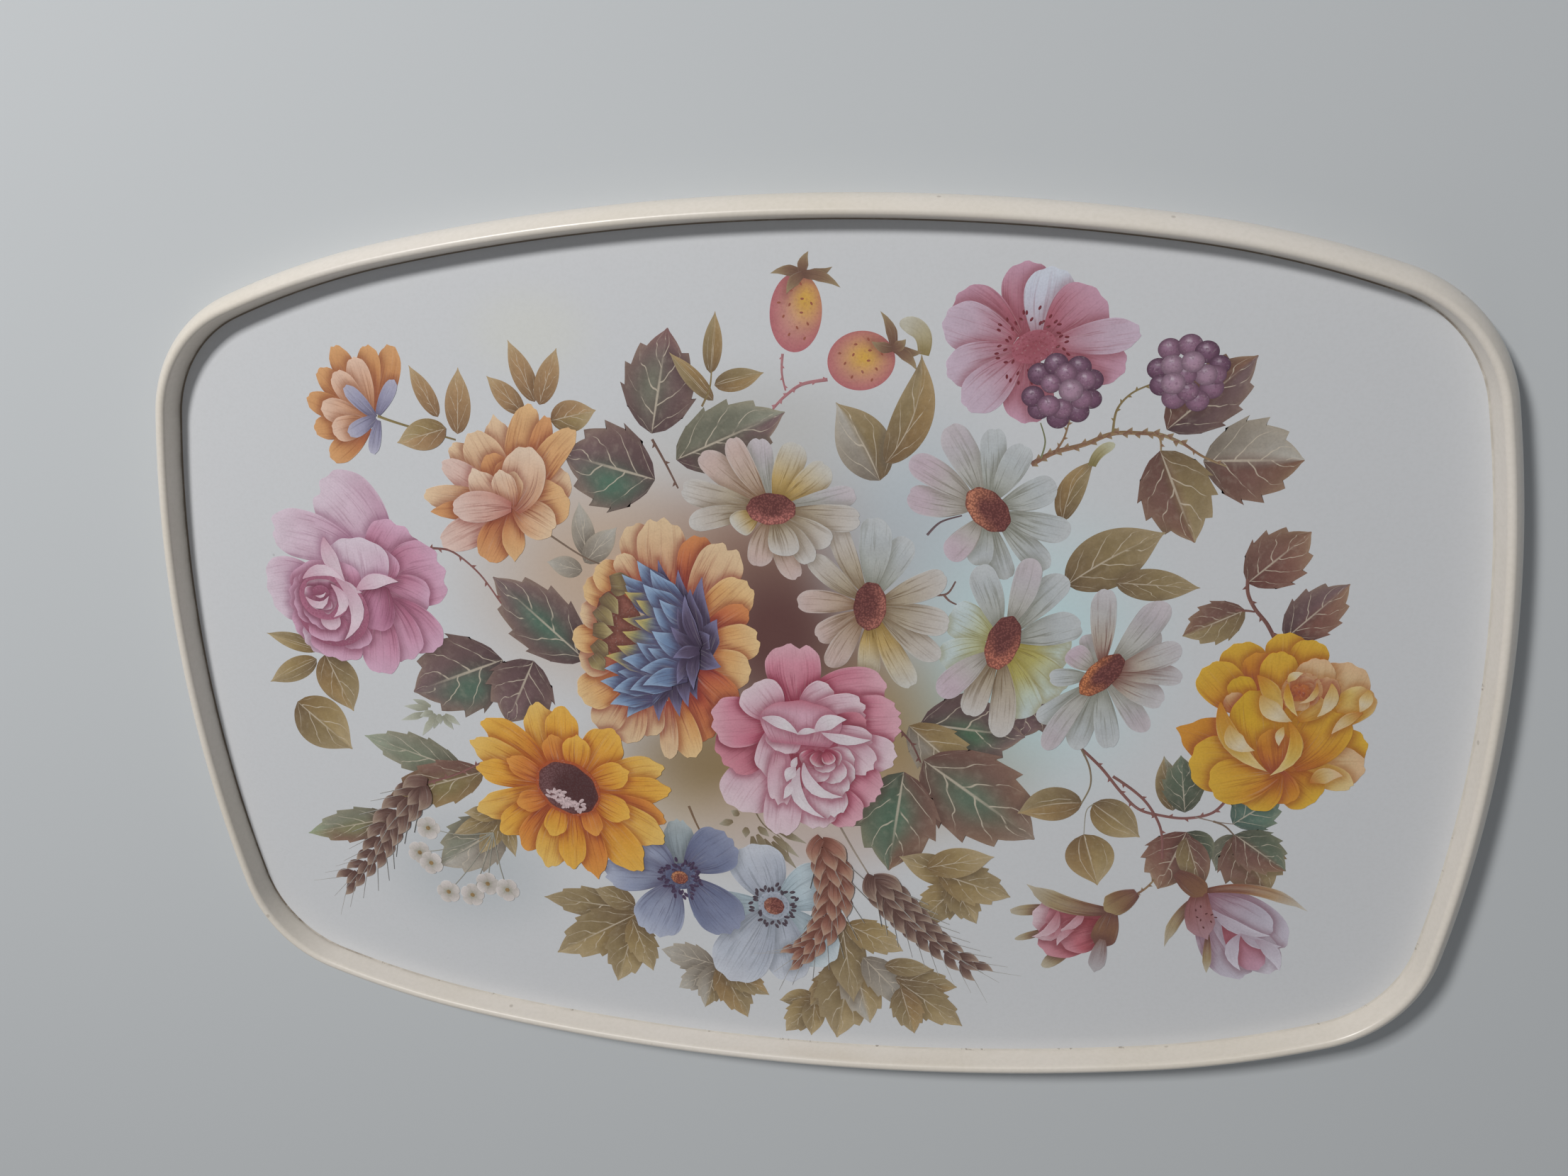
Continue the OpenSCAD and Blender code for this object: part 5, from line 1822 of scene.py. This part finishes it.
# %% Pollen ink
def pollen_ink():
    finish = Finish("pollen_ink")
    paint, vein = finish.attribute("paint"), finish.attribute("vein")
    share = finish.attribute("vein", 3)
    crumbs = finish.node("ShaderNodeTexVoronoi", {"Vector": finish.attribute("lane", 1), "Scale": 1.5})
    ripple = finish.maths("MULTIPLY", finish.noise(finish.attribute("lane", 1), 2.4, 3), 0.5)
    ragged = finish.maths("ADD", crumbs, ripple)
    spot = finish.band(ragged, 0.62, 0.42)
    colour = finish.mix(finish.maths("MULTIPLY", spot, share), paint, vein)
    gap = finish.band(ragged, 0.66, 0.86)
    colour = finish.mix(finish.maths("MULTIPLY", gap, 0.55), colour, (0.1, 0.03, 0.03, 1))
    return varnish(finish, colour)


INKS = {"petal": petal_ink(), "leaf": leaf_ink(), "pollen": pollen_ink()}
print("inks:", sorted(INKS))

# %% [markdown]
# ## Make the printed pieces
# All the sheets of one piece become one object; a big flower is a few pieces. Each sheet is a closed solid:
# its grid on top, a wall round its edge, and a bottom just inside the laminate.

# %% Build one object for each piece of ink
def printed_piece(name, group):
    points, faces, finish_of, paint, vein, lane = [], [], [], [], [], []
    kinds = sorted({s["finish"] for s in group})
    for sheet in group:
        rows, columns = sheet["xy"].shape[:2]
        start = len(points)
        high = face_z + (sheet["level"] + 1) * STEP
        grid = np.arange(rows * columns).reshape(rows, columns)
        loop = border(grid[..., None])[:, 0]
        flat = sheet["flat"] * MM
        points += [(x, y, high) for x, y in flat]
        points += [(flat[k][0], flat[k][1], face_z - STEP) for k in loop]
        quads = np.stack((grid[:-1, :-1], grid[:-1, 1:], grid[1:, 1:], grid[1:, :-1]), -1).reshape(-1, 4)
        area = np.sum(sheet["loop"][:, 0] * np.roll(sheet["loop"][:, 1], -1)
                      - np.roll(sheet["loop"][:, 0], -1) * sheet["loop"][:, 1])
        turn = slice(None) if area > 0 else slice(None, None, -1)
        made = [tuple(q[turn] + start) for q in quads]
        n = len(loop)
        low = np.arange(n) + rows * columns
        for k in range(n):
            m = (k + 1) % n
            wall = np.array([loop[k], low[k], low[m], loop[m]]) + start
            made.append(tuple(wall[turn]))
        made.append(tuple((low[::-1] + start)[turn]))
        faces += made
        finish_of += [kinds.index(sheet["finish"])] * len(made)
        for store, key, width in ((paint, "paint", 3), (vein, "vein", 4), (lane, "lane", 3)):
            values = np.broadcast_to(sheet[key], (rows, columns, width)).reshape(-1, width)
            store.append(np.concatenate((values, values[loop])))
    mesh = bpy.data.meshes.new(name)
    mesh.from_pydata(points, [], faces)
    paint = np.concatenate(paint)
    mesh.attributes.new("paint", "FLOAT_COLOR", "POINT").data.foreach_set(
        "color", np.concatenate((paint, np.ones((len(paint), 1))), 1).astype(np.float32).ravel())
    mesh.attributes.new("vein", "FLOAT_COLOR", "POINT").data.foreach_set(
        "color", np.concatenate(vein).astype(np.float32).ravel())
    mesh.attributes.new("lane", "FLOAT_VECTOR", "POINT").data.foreach_set(
        "vector", np.concatenate(lane).astype(np.float32).ravel())
    for kind in kinds:
        mesh.materials.append(INKS[kind])
    mesh.polygons.foreach_set("material_index", finish_of)
    mesh.update()
    piece = bpy.data.objects.new(name, mesh)
    bpy.context.scene.collection.objects.link(piece)
    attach(piece, "root")
    return piece


names = list(dict.fromkeys(s["piece"] for s in sheets))
printed = [printed_piece(name, [s for s in sheets if s["piece"] == name]) for name in names]
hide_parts("flower_transfer")
print(len(printed), "printed pieces,", sum(len(p.data.polygons) for p in printed), "faces")
